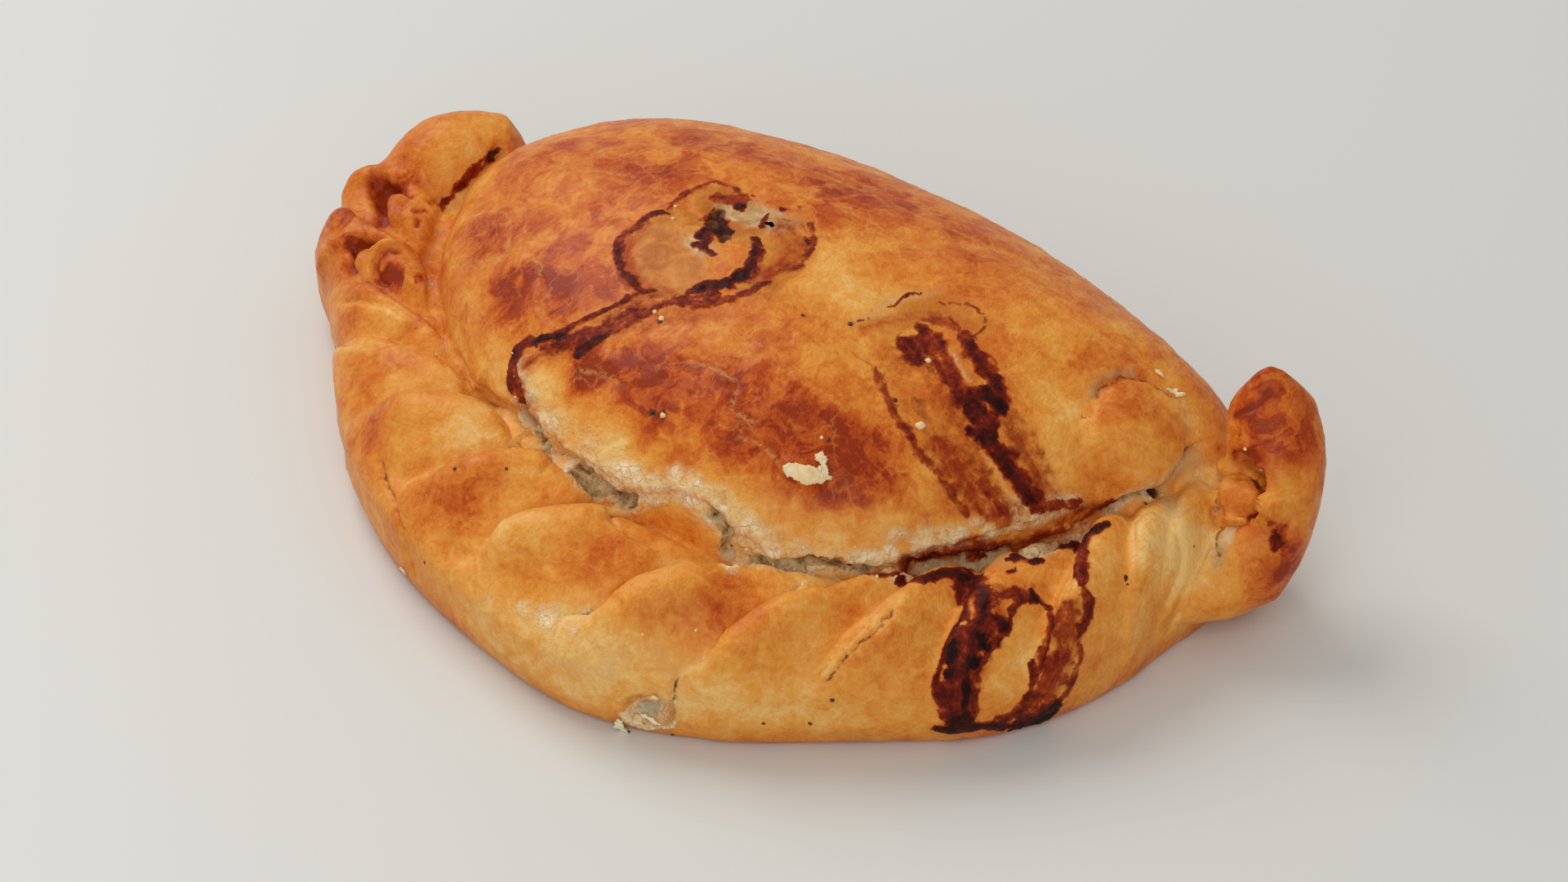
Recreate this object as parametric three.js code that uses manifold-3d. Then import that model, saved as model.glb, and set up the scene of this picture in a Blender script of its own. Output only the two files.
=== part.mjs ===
// A Cornish pasty: a domed lid of shortcrust pastry over the filling, and a thick rope crimp that
// runs along the curved side from a stood-up tongue at the left end to a curled ear at the right.
// Millimetres. X runs along the pasty, -Y is the crimped side, +Z is up, and it rests on Z = 0.
import * as THREE from "three";
import { mergeVertices } from "three/addons/utils/BufferGeometryUtils.js";
import Module from "manifold-3d";

const wasm = await Module();
wasm.setup();

// Driving dimensions.
const DOME_TOP = 51; // height of the lid above the table
const BACK_WIDEST = 17; // height at which the uncrimped back bulges most
const SEAM_WIDEST = 22; // height at which the lid's wall stands upright behind the rope
const BASE_SINK = 3; // how far the round shapes reach below the table before the base is cut flat
const ROPE_WIDEST = 11; // height of the rope's widest line
const ROPE_CREST = 25; // height of the rope along the front
const ROPE_CREST_ENDS = 30; // height of the rope where it meets the tongue and the ear
const ROPE_TUCK = 8; // how far the rope reaches in under the lid's edge
const FOLD_RELIEF = 3.6; // how far a crimp fold stands out from its creases
const CREVICE_WIDTH = 3.2; // half the width of the open seam between the lid's lip and the rope

// Mesh fineness. The first share of a sphere's rows makes its upper half, the rest its lower half.
const LID_AROUND = 92;
const LID_DOWN = 22;
const LID_UPPER_ROWS = 0.84;
const FOLD_STEPS = 7; // rings of the rope's mesh in each crimp fold
const ROPE_ROUND = 24;
const ROPE_TOP_FINENESS = 0.45; // how much closer the section's points lie over the top
const ROLL_AROUND = 18;
const ROLL_DOWN = 14;
const LUMP_AROUND = 16;
const LUMP_DOWN = 10;

const vec = (x, y, z = 0) => new THREE.Vector3(x, y, z);
const curve = (points, closed = false) => new THREE.CatmullRomCurve3(points.map((p) => vec(...p)), closed);
const smooth = (low, high, x) => THREE.MathUtils.smoothstep(x, low, high);
const mix = THREE.MathUtils.lerp;
const clamp = THREE.MathUtils.clamp;
const power = (x, p) => Math.sign(x) * Math.abs(x) ** p;
const bell = (x, centre, width) => Math.exp(-(((x - centre) / width) ** 2));

// The lid seen from above, from the left end round the front, the right end and the back.
const lidOutline = curve(
  [[-80, 23], [-76, 6], [-66, -11], [-48, -27], [-26, -39], [0, -46], [22, -46], [40, -38],
    [56, -22], [69, -6], [80, 11], [84, 25], [63, 39], [32, 51], [-3, 57], [-38, 56], [-65, 47]],
  true,
);
const LID_CENTRE = vec(-4, 6);

// The rope's outer edge and its seam against the lid, from the left end to the right end.
const ropeOuter = curve(
  [[-96, 31], [-102.5, 17], [-100.5, 1], [-86, -17], [-70.5, -38.5], [-49, -57], [-23.5, -69],
    [2, -75.5], [26, -70.5], [48, -58.5], [70, -44], [82, -24], [86, -7], [91, 9]],
);
const ropeSeam = curve(
  [[-85, 27], [-82, 17], [-77, 4], [-66, -11], [-48, -27], [-26, -39], [0, -46], [22, -46],
    [40, -38], [56, -22], [69, -6], [78, 6], [86, 20]],
);

// Moves every vertex of a closed three.js geometry and returns the result as a solid.
function solid(geometry, move) {
  geometry.deleteAttribute("normal");
  geometry.deleteAttribute("uv");
  const merged = mergeVertices(geometry, 1e-5);
  const position = merged.getAttribute("position");
  const from = new THREE.Vector3();
  for (let i = 0; i < position.count; i++) {
    const to = move(from.fromBufferAttribute(position, i));
    position.setXYZ(i, to.x, to.y, to.z);
  }
  return new wasm.Manifold(
    new wasm.Mesh({
      numProp: 3,
      vertProperties: new Float32Array(position.array),
      triVerts: new Uint32Array(merged.index.array),
    }),
  );
}

// Rises and dips of the lid: [x, y, radius along X, radius along Y, height].
const LID_RELIEF = [
  [-20, 12, 26, 22, 1.5], // the filling's highest heap
  [-14, 9, 8, 7, -1.5], // the first steam vent
  [29, 6, 8, 6, -1.2], // the second steam vent
];

function lid() {
  const move = (at) => {
    const down = Math.acos(clamp(at.y, -1, 1)) / Math.PI;
    const upper = down <= LID_UPPER_ROWS;
    const polar = upper
      ? mix(0, Math.PI / 2, down / LID_UPPER_ROWS)
      : mix(Math.PI / 2, Math.PI, (down - LID_UPPER_ROWS) / (1 - LID_UPPER_ROWS));
    const around = (Math.atan2(at.z, -at.x) / (2 * Math.PI) + 1) % 1;
    const edge = lidOutline.getPointAt(around);
    const front = 1 - smooth(-4, 26, edge.y);
    const widest = mix(BACK_WIDEST, SEAM_WIDEST, front);
    const squareness = upper ? mix(2.5, 2.1, front) : mix(5, 12, front);
    const reach = power(Math.sin(polar), 2 / squareness);
    const rise = power(Math.cos(polar), 2 / squareness);
    const to = LID_CENTRE.clone().lerp(edge, reach);
    to.z = widest + rise * (upper ? DOME_TOP - widest : widest + BASE_SINK);
    if (!upper) return to;
    const fade = 1 - reach ** 8;
    for (const [x, y, wide, deep, height] of LID_RELIEF) {
      to.z += fade * height * bell(to.x, x, wide) * bell(to.y, y, deep);
    }
    return to;
  };
  return solid(new THREE.SphereGeometry(1, LID_AROUND, LID_DOWN), move);
}

// Creases between the crimp folds, which slant back towards the outer edge: the share of the seam
// and the share of the outer edge at which each lies, and how proud the fold to its right stands.
const CREASES = [
  [0, 0, 0.4], [0.056, 0.047, 1], [0.131, 0.085, 1], [0.22, 0.142, 0.9], [0.273, 0.197, 0.9],
  [0.327, 0.278, 1.2], [0.404, 0.361, 1.3], [0.485, 0.433, 1.3], [0.588, 0.533, 1.2],
  [0.705, 0.619, 1.1], [0.754, 0.689, 1], [0.784, 0.766, 1], [0.877, 0.822, 0.8],
  [0.9, 0.895, 0.6], [0.94, 0.93, 0.4], [0.966, 0.965, 0.2], [1, 1, 0],
];
const FOLDS = CREASES.length - 1;

// Each fold laps over the one to its left: a steep left edge, then a long fall to the next crease.
const foldShape = (share) => Math.sin(Math.PI * share ** 0.62) ** 0.8;

// The two folds beside the tongue are pinched into loops, each with a pocket between its lobes:
// [share along the rope, share across it, reach along, reach across, height].
const PINCHES = [
  [0.055, 0.9, 0.022, 0.25, 4],
  [0.072, 0.55, 0.012, 0.13, -4.5],
  [0.1, 0.25, 0.018, 0.14, 2.5],
  [0.11, 0.9, 0.02, 0.25, 3],
  [0.13, 0.58, 0.012, 0.13, -4.5],
  [0.165, 0.3, 0.018, 0.14, 2.5],
];

// How far the rope's surface stands out at a share across it: fold number and share of that fold.
function relief(fold, share, along, across) {
  const left = 1 - smooth(0.16, 0.4, along);
  const reachesDown = Math.max(left, smooth(0.5, 0.75, along));
  const fade = mix(1 - smooth(0.5, 0.95, across), 1 - 0.5 * smooth(0.7, 1, across), reachesDown);
  return PINCHES.reduce(
    (height, [at, over, reach, spread, rise]) => height + rise * bell(along, at, reach) * bell(across, over, spread),
    FOLD_RELIEF * CREASES[fold][2] * fade * foldShape(share),
  );
}

// Open stretches of the seam: [share along the seam, half length as a share, depth].
const CREVICES = [[0.315, 0.045, 4], [0.405, 0.035, 4], [0.51, 0.03, 3], [0.68, 0.06, 2.5], [0.79, 0.07, 6]];
const creviceDepth = (along) =>
  CREVICES.reduce((depth, [centre, reach, most]) => depth + most * bell(along, centre, reach), 1.5);

// The rings of the rope's mesh follow the creases, so that every fold is crisp.
function rope() {
  const move = (at) => {
    const place = (at.y + 0.5) * FOLDS;
    const fold = Math.min(Math.floor(place + 1e-6), FOLDS - 1);
    const share = clamp(place - fold, 0, 1);
    const [seamStart, outerStart] = CREASES[fold];
    const [seamEnd, outerEnd] = CREASES[fold + 1];
    const seamShare = mix(seamStart, seamEnd, share);
    const outerShare = mix(outerStart, outerEnd, share);
    const inner = ropeSeam.getPointAt(seamShare);
    const outer = ropeOuter.getPointAt(outerShare);
    const width = inner.distanceTo(outer);
    const outward = outer.clone().sub(inner).normalize();

    const fromEnd = Math.min(1, place, FOLDS - place);
    const radius = Math.hypot(at.x, at.z) * Math.sqrt(1 - (1 - fromEnd) ** 2);
    const evenTurn = Math.atan2(at.z, at.x);
    const turn = evenTurn + ROPE_TOP_FINENESS * Math.cos(evenTurn);
    const upper = Math.sin(turn) > 0;
    const squareness = upper ? 2.2 : 4;
    const sideways = radius * power(Math.cos(turn), 2 / squareness);
    const upward = radius * power(Math.sin(turn), 2 / squareness);
    const fromSeam = (width + ROPE_TUCK) * ((1 + sideways) / 2) ** 1.2 - ROPE_TUCK;
    const across = clamp(fromSeam / width, 0, 1);
    const along = mix(seamShare, outerShare, across);

    const ends = 1 - smooth(0, 0.25, along) + smooth(0.75, 1, along);
    const crest = mix(ROPE_CREST, ROPE_CREST_ENDS, ends) - FOLD_RELIEF;
    const rise = upward * (upper ? crest - ROPE_WIDEST : ROPE_WIDEST + BASE_SINK);
    const proud = radius * relief(fold, share, along, across) * smooth(-0.9, -0.2, upward);
    const crevice = upper ? creviceDepth(along) * bell(fromSeam, 0.5, CREVICE_WIDTH) : 0;
    return inner
      .clone()
      .setZ(ROPE_WIDEST + rise + proud * Math.max(0, upward) - crevice)
      .addScaledVector(outward, fromSeam + proud * sideways);
  };
  return solid(new THREE.CylinderGeometry(1, 1, 1, ROPE_ROUND, FOLDS * FOLD_STEPS), move);
}

// A closed roll of pastry along a path: half its width and half its thickness at each path point.
function roll(points, widths, thicknesses, thinWay) {
  const path = curve(points);
  const sizeAt = (sizes, share) => {
    const place = share * (sizes.length - 1);
    const step = Math.min(Math.floor(place), sizes.length - 2);
    return mix(sizes[step], sizes[step + 1], smooth(0, 1, place - step));
  };
  const move = (at) => {
    const polar = Math.acos(clamp(at.y, -1, 1));
    const share = polar / Math.PI;
    const close = Math.min(1, Math.hypot(at.x, at.z) * 1.6) ** 0.6;
    const turn = Math.atan2(at.z, at.x);
    const ahead = path.getTangent(share);
    const thin = thinWay.clone().addScaledVector(ahead, -ahead.dot(thinWay)).normalize();
    const wide = thin.clone().cross(ahead);
    return path
      .getPoint(share)
      .addScaledVector(wide, close * sizeAt(widths, share) * Math.cos(turn))
      .addScaledVector(thin, close * sizeAt(thicknesses, share) * Math.sin(turn));
  };
  return solid(new THREE.SphereGeometry(1, ROLL_AROUND, ROLL_DOWN), move);
}

// The left end of the rope stands up as a broad tongue that leans on the lid.
const tongue = () =>
  roll(
    [[-96, 8, 12], [-92, 20, 20], [-88, 26, 25], [-83, 32, 26], [-76, 37, 21]],
    [8, 10, 11, 9, 5],
    [8, 10, 11, 9, 5],
    vec(0, 0, 1),
  );
const tongueFoot = () => lump([-86, 27, 15], [15, 12.5, 17]); // carries it down to the table

// The right end is rolled up into a blunt-tipped ear that faces forwards and to the right.
const EAR_FACES = vec(0.39, -0.68, 0.62);
const ear = () =>
  roll(
    [[80, -8, 8], [92, 6, 13], [94.5, 13.5, 23], [93, 17.5, 32], [90, 20.5, 40], [89, 21, 48]],
    [8, 9, 8.5, 9, 8, 6],
    [8, 10, 9, 8, 6, 3.5],
    EAR_FACES,
  );

// A rounded lump: its centre, its three half sizes and the way its third axis points.
function lump(centre, [wide, deep, high], up = vec(0, 0, 1)) {
  const turn = new THREE.Quaternion().setFromUnitVectors(vec(0, 0, 1), up.clone().normalize());
  const scale = vec(wide, deep, high);
  const move = (at) => at.clone().multiply(scale).applyQuaternion(turn).add(vec(...centre));
  return solid(new THREE.SphereGeometry(1, LUMP_AROUND, LUMP_DOWN), move);
}

const earFoot = () => lump([86, 13, 11], [12, 13, 14]);
const swelling = () => lump([68, 7.5, 29], [12, 12, 8], vec(0.7, -0.4, 0.6)); // on the lid, by the ear
const hollow = () => lump([91.5, 10, 29], [7, 6.5, 4.5], EAR_FACES); // inside the ear's curl
const knob = () => lump([89, 10.5, 24], [5, 4, 4.5], EAR_FACES); // the pinched end of the rope, in the hollow
const flake = () => lump([26.5, -36, 38], [4.4, 2.4, 1.2], vec(0.26, -0.6, 0.76)); // loose pastry on the lid

// A tear low in the front wall shows a piece of the filling, which lies free in a shallow pocket.
const TEAR = [17, -73, 6.6];
const pocket = () => lump(TEAR, [4.4, 5, 3.8]);
const filling = () => lump([TEAR[0], TEAR[1] + 2.2, TEAR[2]], [3.2, 2.2, 2.7]);

const TABLE_SIZE = 400;
const aboveTable = () =>
  solid(new THREE.BoxGeometry(TABLE_SIZE, TABLE_SIZE, TABLE_SIZE), (at) => at.clone().setZ(at.z + TABLE_SIZE / 2));

const crustSolid = lid()
  .add(rope())
  .add(tongue())
  .add(tongueFoot())
  .add(ear())
  .add(earFoot())
  .add(swelling())
  .subtract(hollow())
  .add(knob())
  .add(flake())
  .subtract(pocket())
  .intersect(aboveTable());

function meshOf(name, shape, material) {
  const { vertProperties, triVerts } = shape.getMesh();
  const geometry = new THREE.BufferGeometry();
  geometry.setAttribute("position", new THREE.BufferAttribute(vertProperties, 3));
  geometry.setIndex(new THREE.BufferAttribute(triVerts, 1));
  const mesh = new THREE.Mesh(geometry, material);
  mesh.name = name;
  return mesh;
}

const bakedPastry = new THREE.MeshStandardMaterial({ color: 0xd9a05a, roughness: 0.45, metalness: 0 });
const cookedOnion = new THREE.MeshStandardMaterial({ color: 0xc9c3a0, roughness: 0.35, metalness: 0 });

const pasty = new THREE.Group();
pasty.add(meshOf("crust", crustSolid, bakedPastry));
pasty.add(meshOf("filling_piece", filling(), cookedOnion));

// The origin is the middle of the underside.
const box = new THREE.Box3().setFromObject(pasty.children[0]);
pasty.position.set(-(box.min.x + box.max.x) / 2, -(box.min.y + box.max.y) / 2, 0);

export default pasty;
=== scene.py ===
"""The looks of a baked Cornish pasty: glazed shortcrust with a thick rope crimp, a crumbly torn seam,
steam vents that have boiled over into dark gravy runs, and the flakes and crumbs that lie on it."""
import math
import random
from collections import namedtuple

import bmesh
import bpy
import numpy as np
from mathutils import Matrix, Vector, noise
from mathutils.bvhtree import BVHTree


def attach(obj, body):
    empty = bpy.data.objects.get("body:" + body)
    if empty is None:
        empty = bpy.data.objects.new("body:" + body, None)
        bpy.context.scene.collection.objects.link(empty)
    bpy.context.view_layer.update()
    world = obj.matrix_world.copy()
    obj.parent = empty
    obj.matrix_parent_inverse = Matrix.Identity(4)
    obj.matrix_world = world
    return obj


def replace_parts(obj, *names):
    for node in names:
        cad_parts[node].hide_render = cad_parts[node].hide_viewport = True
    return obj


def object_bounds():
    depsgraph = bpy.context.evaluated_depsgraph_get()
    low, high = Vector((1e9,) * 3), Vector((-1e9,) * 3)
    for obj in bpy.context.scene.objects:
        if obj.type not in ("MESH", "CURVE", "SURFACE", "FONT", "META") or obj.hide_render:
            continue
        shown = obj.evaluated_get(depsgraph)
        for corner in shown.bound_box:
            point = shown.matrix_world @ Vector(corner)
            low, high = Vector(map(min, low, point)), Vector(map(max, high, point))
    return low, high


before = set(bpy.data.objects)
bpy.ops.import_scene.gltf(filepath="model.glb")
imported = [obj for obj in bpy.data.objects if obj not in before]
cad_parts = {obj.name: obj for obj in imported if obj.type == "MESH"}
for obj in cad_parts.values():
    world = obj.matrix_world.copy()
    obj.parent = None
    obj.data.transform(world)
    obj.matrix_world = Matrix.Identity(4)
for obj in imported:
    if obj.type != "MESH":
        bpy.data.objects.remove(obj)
cad_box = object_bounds()
noise.seed_set(7)  # without it, vector noise is another one at each run

MM = 0.001
FAR = 99.0  # mm, stands for out of reach

# The skin of the pasty, in mm.
SKIN_CELL = 0.55
SKIN_SOFTENING = 7  # passes that take the facets off
FORM_SOFTENING = 40  # passes that leave only the broad form
SKIN_TRIANGLES = 196000
LINE_STEP = 1.0  # spacing of the points along a line on the skin
CLEARANCE = 0.05  # kept free above the floor and below the pasty's top

# The camera: where it stands and what it looks at, in mm, its lens on its sensor, and its view in pixels.
CAMERA_PLACE = (335.2, -564.0, 535.5)
CAMERA_TARGET = (6.5, 5.4, 14.0)
CAMERA_LENS = 104.4
SENSOR = 36.0
VIEW_SIZE = (1920, 1080)
PIXELS_PER_MM = 6.6  # about, over the pasty

# What is painted on the skin for its material: along and across in mm, the others from about 0 to 1.
PAINTS = ("bake_and_shade", "dry", "gap", "gravy", "along", "across", "char_and_shade", "craze", "tan", "grey", "edge")

# Every spot below is where something lies in the camera's view, in pixels from the upper left corner.
# A line on the skin: how far it reaches to each side in mm, how strong it is, and its spots.
Line = namedtuple("Line", "width depth points")

# Where the lid meets the rope, from the tongue to the ear.
SEAM = [
    (613, 181), (590, 207), (565, 232), (540, 250), (527, 300), (528, 350), (545, 420), (575, 458),
    (604, 489), (636, 508), (655, 535), (674, 556), (706, 570), (735, 600), (760, 612), (800, 605),
    (840, 612), (872, 628), (893, 655), (905, 680), (930, 695), (985, 697), (1034, 701), (1088, 697),
    (1126, 695), (1164, 690), (1210, 680), (1270, 665), (1330, 640), (1399, 611), (1421, 598),
    (1437, 576), (1456, 551), (1475, 540),
]
SEAM_BACK = ((-76, 90), (82, 90))  # mm, where the lid's outline is closed behind the pasty

# The crumbly lip of the lid, along its torn stretch. The lid is on the left of its way.
LIP = [
    (637, 416), (634, 448), (641, 470), (650, 495), (655, 505), (668, 520), (690, 545), (705, 560),
    (728, 570), (748, 582), (775, 600), (800, 604), (830, 604), (858, 614), (885, 630), (905, 655),
    (925, 668), (945, 680), (965, 688), (990, 690), (1030, 696), (1060, 694), (1090, 688), (1130, 678),
    (1170, 668), (1210, 655), (1250, 640), (1290, 628), (1330, 622), (1370, 612),
]

# Where the seam gapes.
GAPS = [
    Line(1.6, 3, [(636, 500), (650, 520), (662, 539), (674, 556)]),
    Line(1.7, 3.2, [(700, 575), (720, 590), (740, 600), (765, 612), (780, 612)]),
    Line(1.1, 2.6, [(860, 622), (877, 638), (888, 655), (889, 680), (895, 695)]),
    Line(1.1, 1.8, [(909, 687), (958, 692), (1010, 690), (1040, 697), (1092, 701)]),
    Line(1.7, 2.2, [(1100, 697), (1138, 695), (1180, 688), (1220, 682), (1260, 672), (1325, 649)]),
    Line(0.8, 1.8, [(1355, 632), (1390, 606), (1421, 590)]),
]

# Folds of the crimp, from the tongue to the ear, each from the rope's foot up to the seam. The fold on the
# right of the way laps over the one on its left, and the depth is how far it stands proud, in mm.
FOLDS = [
    Line(0.8, 0.9, [(404, 369), (441, 366), (472, 375), (508, 391)]),
    Line(0.8, 0.8, [(407, 425), (426, 421), (456, 423), (502, 427), (539, 431)]),
    Line(0.9, 1.5, [(438, 509), (461, 498), (512, 486), (553, 488), (591, 495), (623, 508), (649, 537),
                    (661, 557)]),
    Line(0.9, 1.4, [(496, 600), (521, 583), (553, 568), (591, 559), (642, 557), (687, 562), (712, 578),
                    (738, 610)]),
    Line(0.9, 1.2, [(559, 683), (591, 669), (623, 648), (661, 629), (706, 619), (740, 620), (748, 639),
                    (776, 658), (815, 677)]),
    Line(1, 1.4, [(649, 763), (687, 753), (732, 744), (757, 731), (783, 715), (811, 699), (840, 691)]),
    Line(0.7, 0.9, [(828, 827), (858, 808), (897, 774), (935, 751), (965, 728), (985, 709)]),
    Line(0.6, 0.6, [(965, 862), (988, 843), (1019, 812), (1050, 782), (1073, 759), (1096, 736),
                    (1103, 722)]),
    Line(0.9, 0.9, [(1262, 880), (1280, 820), (1300, 750), (1313, 700), (1335, 650)]),
    Line(1, 0.5, [(1395, 720), (1391, 681), (1390, 645), (1410, 623)]),
    Line(1, 0.5, [(1412, 770), (1429, 742), (1446, 701), (1444, 664), (1432, 636)]),
    Line(1, 0.5, [(1417, 795), (1449, 749), (1463, 712), (1477, 674), (1483, 643)]),
]

# The crest of each fold, and the valleys between them.
CRESTS = [
    Line(5, -1.6, [(449, 514), (490, 501), (535, 495), (578, 506), (620, 522)]),
    Line(4.5, -1.9, [(526, 588), (578, 571), (630, 568), (671, 576), (700, 600)]),
    Line(5, -2, [(574, 684), (621, 658), (676, 641), (719, 639), (756, 658)]),
    Line(4.5, -2.2, [(727, 759), (780, 738), (836, 715), (873, 710), (918, 725)]),
    Line(4.5, -1.6, [(854, 824), (904, 786), (947, 754), (983, 736), (1030, 724)]),
    Line(4.5, -1.4, [(1000, 840), (1035, 814), (1075, 778), (1113, 750), (1143, 740)]),
]
VALLEYS = [
    Line(2.2, 0.9, [(463, 564), (495, 584), (528, 566), (567, 560)]),
    Line(2.2, 0.9, [(527, 663), (567, 681), (597, 664), (635, 639)]),
    Line(2, 0.9, [(679, 765), (707, 757), (744, 741), (774, 721), (796, 705)]),
]

# The curled ends of the rope: steps that stand proud on the right of their way, then rims, and hollows. The
# hollows and the foot of the curls' steps are painted darker, as shade.
CURLS = [
    Line(0.5, 1.9, [(481, 285), (479, 275), (476, 265), (474, 257), (482, 247), (490, 243), (505, 245)]),
    Line(0.5, 1.7, [(443, 338), (438, 328), (437, 322), (443, 310), (450, 304), (465, 302), (480, 301),
                    (495, 303)]),
    Line(0.5, 1.1, [(500, 309), (480, 309), (466, 315), (459, 325), (459, 335), (464, 345), (476, 352)]),
    Line(0.5, 0.9, [(1525, 583), (1532, 592), (1535, 605), (1537, 618), (1536, 630), (1523, 640),
                    (1505, 643), (1495, 636)]),
]
RIMS = [
    Line(2.2, -1, [(420, 285), (417, 265), (420, 241), (431, 224), (446, 213), (460, 209), (480, 214),
                   (500, 223), (515, 236)]),
    Line(2, -0.9, [(398, 340), (393, 322), (396, 310), (404, 299), (416, 293), (430, 287), (445, 284),
                   (460, 288), (480, 292)]),
    Line(1.5, -0.5, [(1530, 568), (1548, 580), (1560, 598), (1572, 612), (1578, 625), (1580, 636)]),
    Line(2, -2.6, [(1543, 588), (1551, 604), (1553, 620), (1548, 638)]),
    Line(2, -2, [(1498, 570), (1514, 570), (1530, 576), (1543, 590)]),
    Line(1.7, -2.4, [(1536, 578), (1545, 588), (1550, 597)]),
]
HOLLOWS = [
    Line(2, 1.7, [(447, 215), (458, 226), (470, 238), (471, 250), (466, 266), (470, 279)]),
    Line(1.5, 1.2, [(462, 228), (476, 236), (490, 240)]),
    Line(1.5, 1.8, [(418, 299), (432, 301), (436, 310), (432, 324), (435, 334)]),
    Line(1.2, 1.1, [(436, 299), (447, 299), (465, 302)]),
    Line(2.2, 0.7, [(468, 326), (476, 338), (493, 341)]),
    Line(0.7, 0.8, [(512, 268), (509, 273), (507, 282)]),
    Line(0.6, 0.4, [(500, 261), (512, 259), (525, 257)]),
    Line(0.9, 0.4, [(518, 246), (530, 246), (540, 250)]),
    Line(1, 0.3, [(505, 343), (518, 338)]),
    Line(0.7, 0.25, [(1500, 548), (1520, 553), (1538, 562), (1552, 577)]),
    Line(0.7, 0.5, [(1507, 517), (1536, 499), (1563, 477)]),
    Line(0.9, 0.3, [(1563, 663), (1568, 650), (1576, 638)]),
]

# Dry cracks in the baked skin, their floors darkened with painted shade.
CRACKS = [
    Line(0.45, 1.2, [(461, 549), (467, 588), (477, 605), (485, 626), (492, 651), (502, 683), (510, 712)]),
    Line(0.6, 1, [(834, 824), (823, 837), (821, 864), (817, 885)]),
    Line(0.9, 1.2, [(1332, 499), (1351, 480), (1376, 458), (1395, 461), (1427, 480), (1453, 493)]),
    Line(0.5, 1.2, [(1399, 611), (1421, 598), (1437, 576), (1456, 551), (1475, 547)]),
    Line(0.35, 0.7, [(1099, 735), (1080, 760), (1055, 790), (1030, 815), (1000, 840)]),
    Line(0.9, 1, [(1482, 580), (1487, 600), (1489, 615), (1490, 630), (1493, 660), (1490, 692)]),
]

# Fine pale cracks of the glaze.
GLAZE_CRACKS = [
    Line(0.35, 0.3, [(677, 202), (690, 212), (680, 231)]),
    Line(0.35, 0.3, [(690, 204), (719, 210), (763, 212), (782, 215)]),
    Line(0.35, 0.3, [(905, 190), (940, 192), (1050, 230), (1120, 262), (1200, 297), (1280, 335),
                     (1345, 365)]),
    Line(0.35, 0.3, [(550, 314), (553, 285), (591, 261), (620, 263), (620, 308), (581, 320), (550, 327)]),
    Line(0.35, 0.3, [(640, 300), (660, 330), (655, 370), (680, 395)]),
    Line(0.35, 0.3, [(560, 330), (600, 322), (640, 300), (690, 292)]),
    Line(0.4, 0.4, [(840, 440), (880, 455), (905, 470), (900, 500), (935, 520)]),
    Line(0.4, 0.5, [(900, 535), (930, 545), (960, 570)]),
    Line(0.35, 0.4, [(730, 560), (750, 540), (780, 530)]),
    Line(0.35, 0.3, [(1040, 390), (1062, 440), (1090, 480)]),
    Line(0.4, 0.4, [(1275, 450), (1295, 480), (1310, 520), (1300, 560)]),
    Line(0.35, 0.3, [(1290, 380), (1320, 400), (1360, 420), (1400, 440)]),
    Line(0.35, 0.3, [(700, 450), (740, 455), (760, 470)]),
    Line(0.5, 0.5, [(722, 838), (732, 852), (745, 860), (763, 864)]),
    Line(0.5, 0.5, [(800, 822), (815, 824), (832, 822)]),
]

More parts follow.
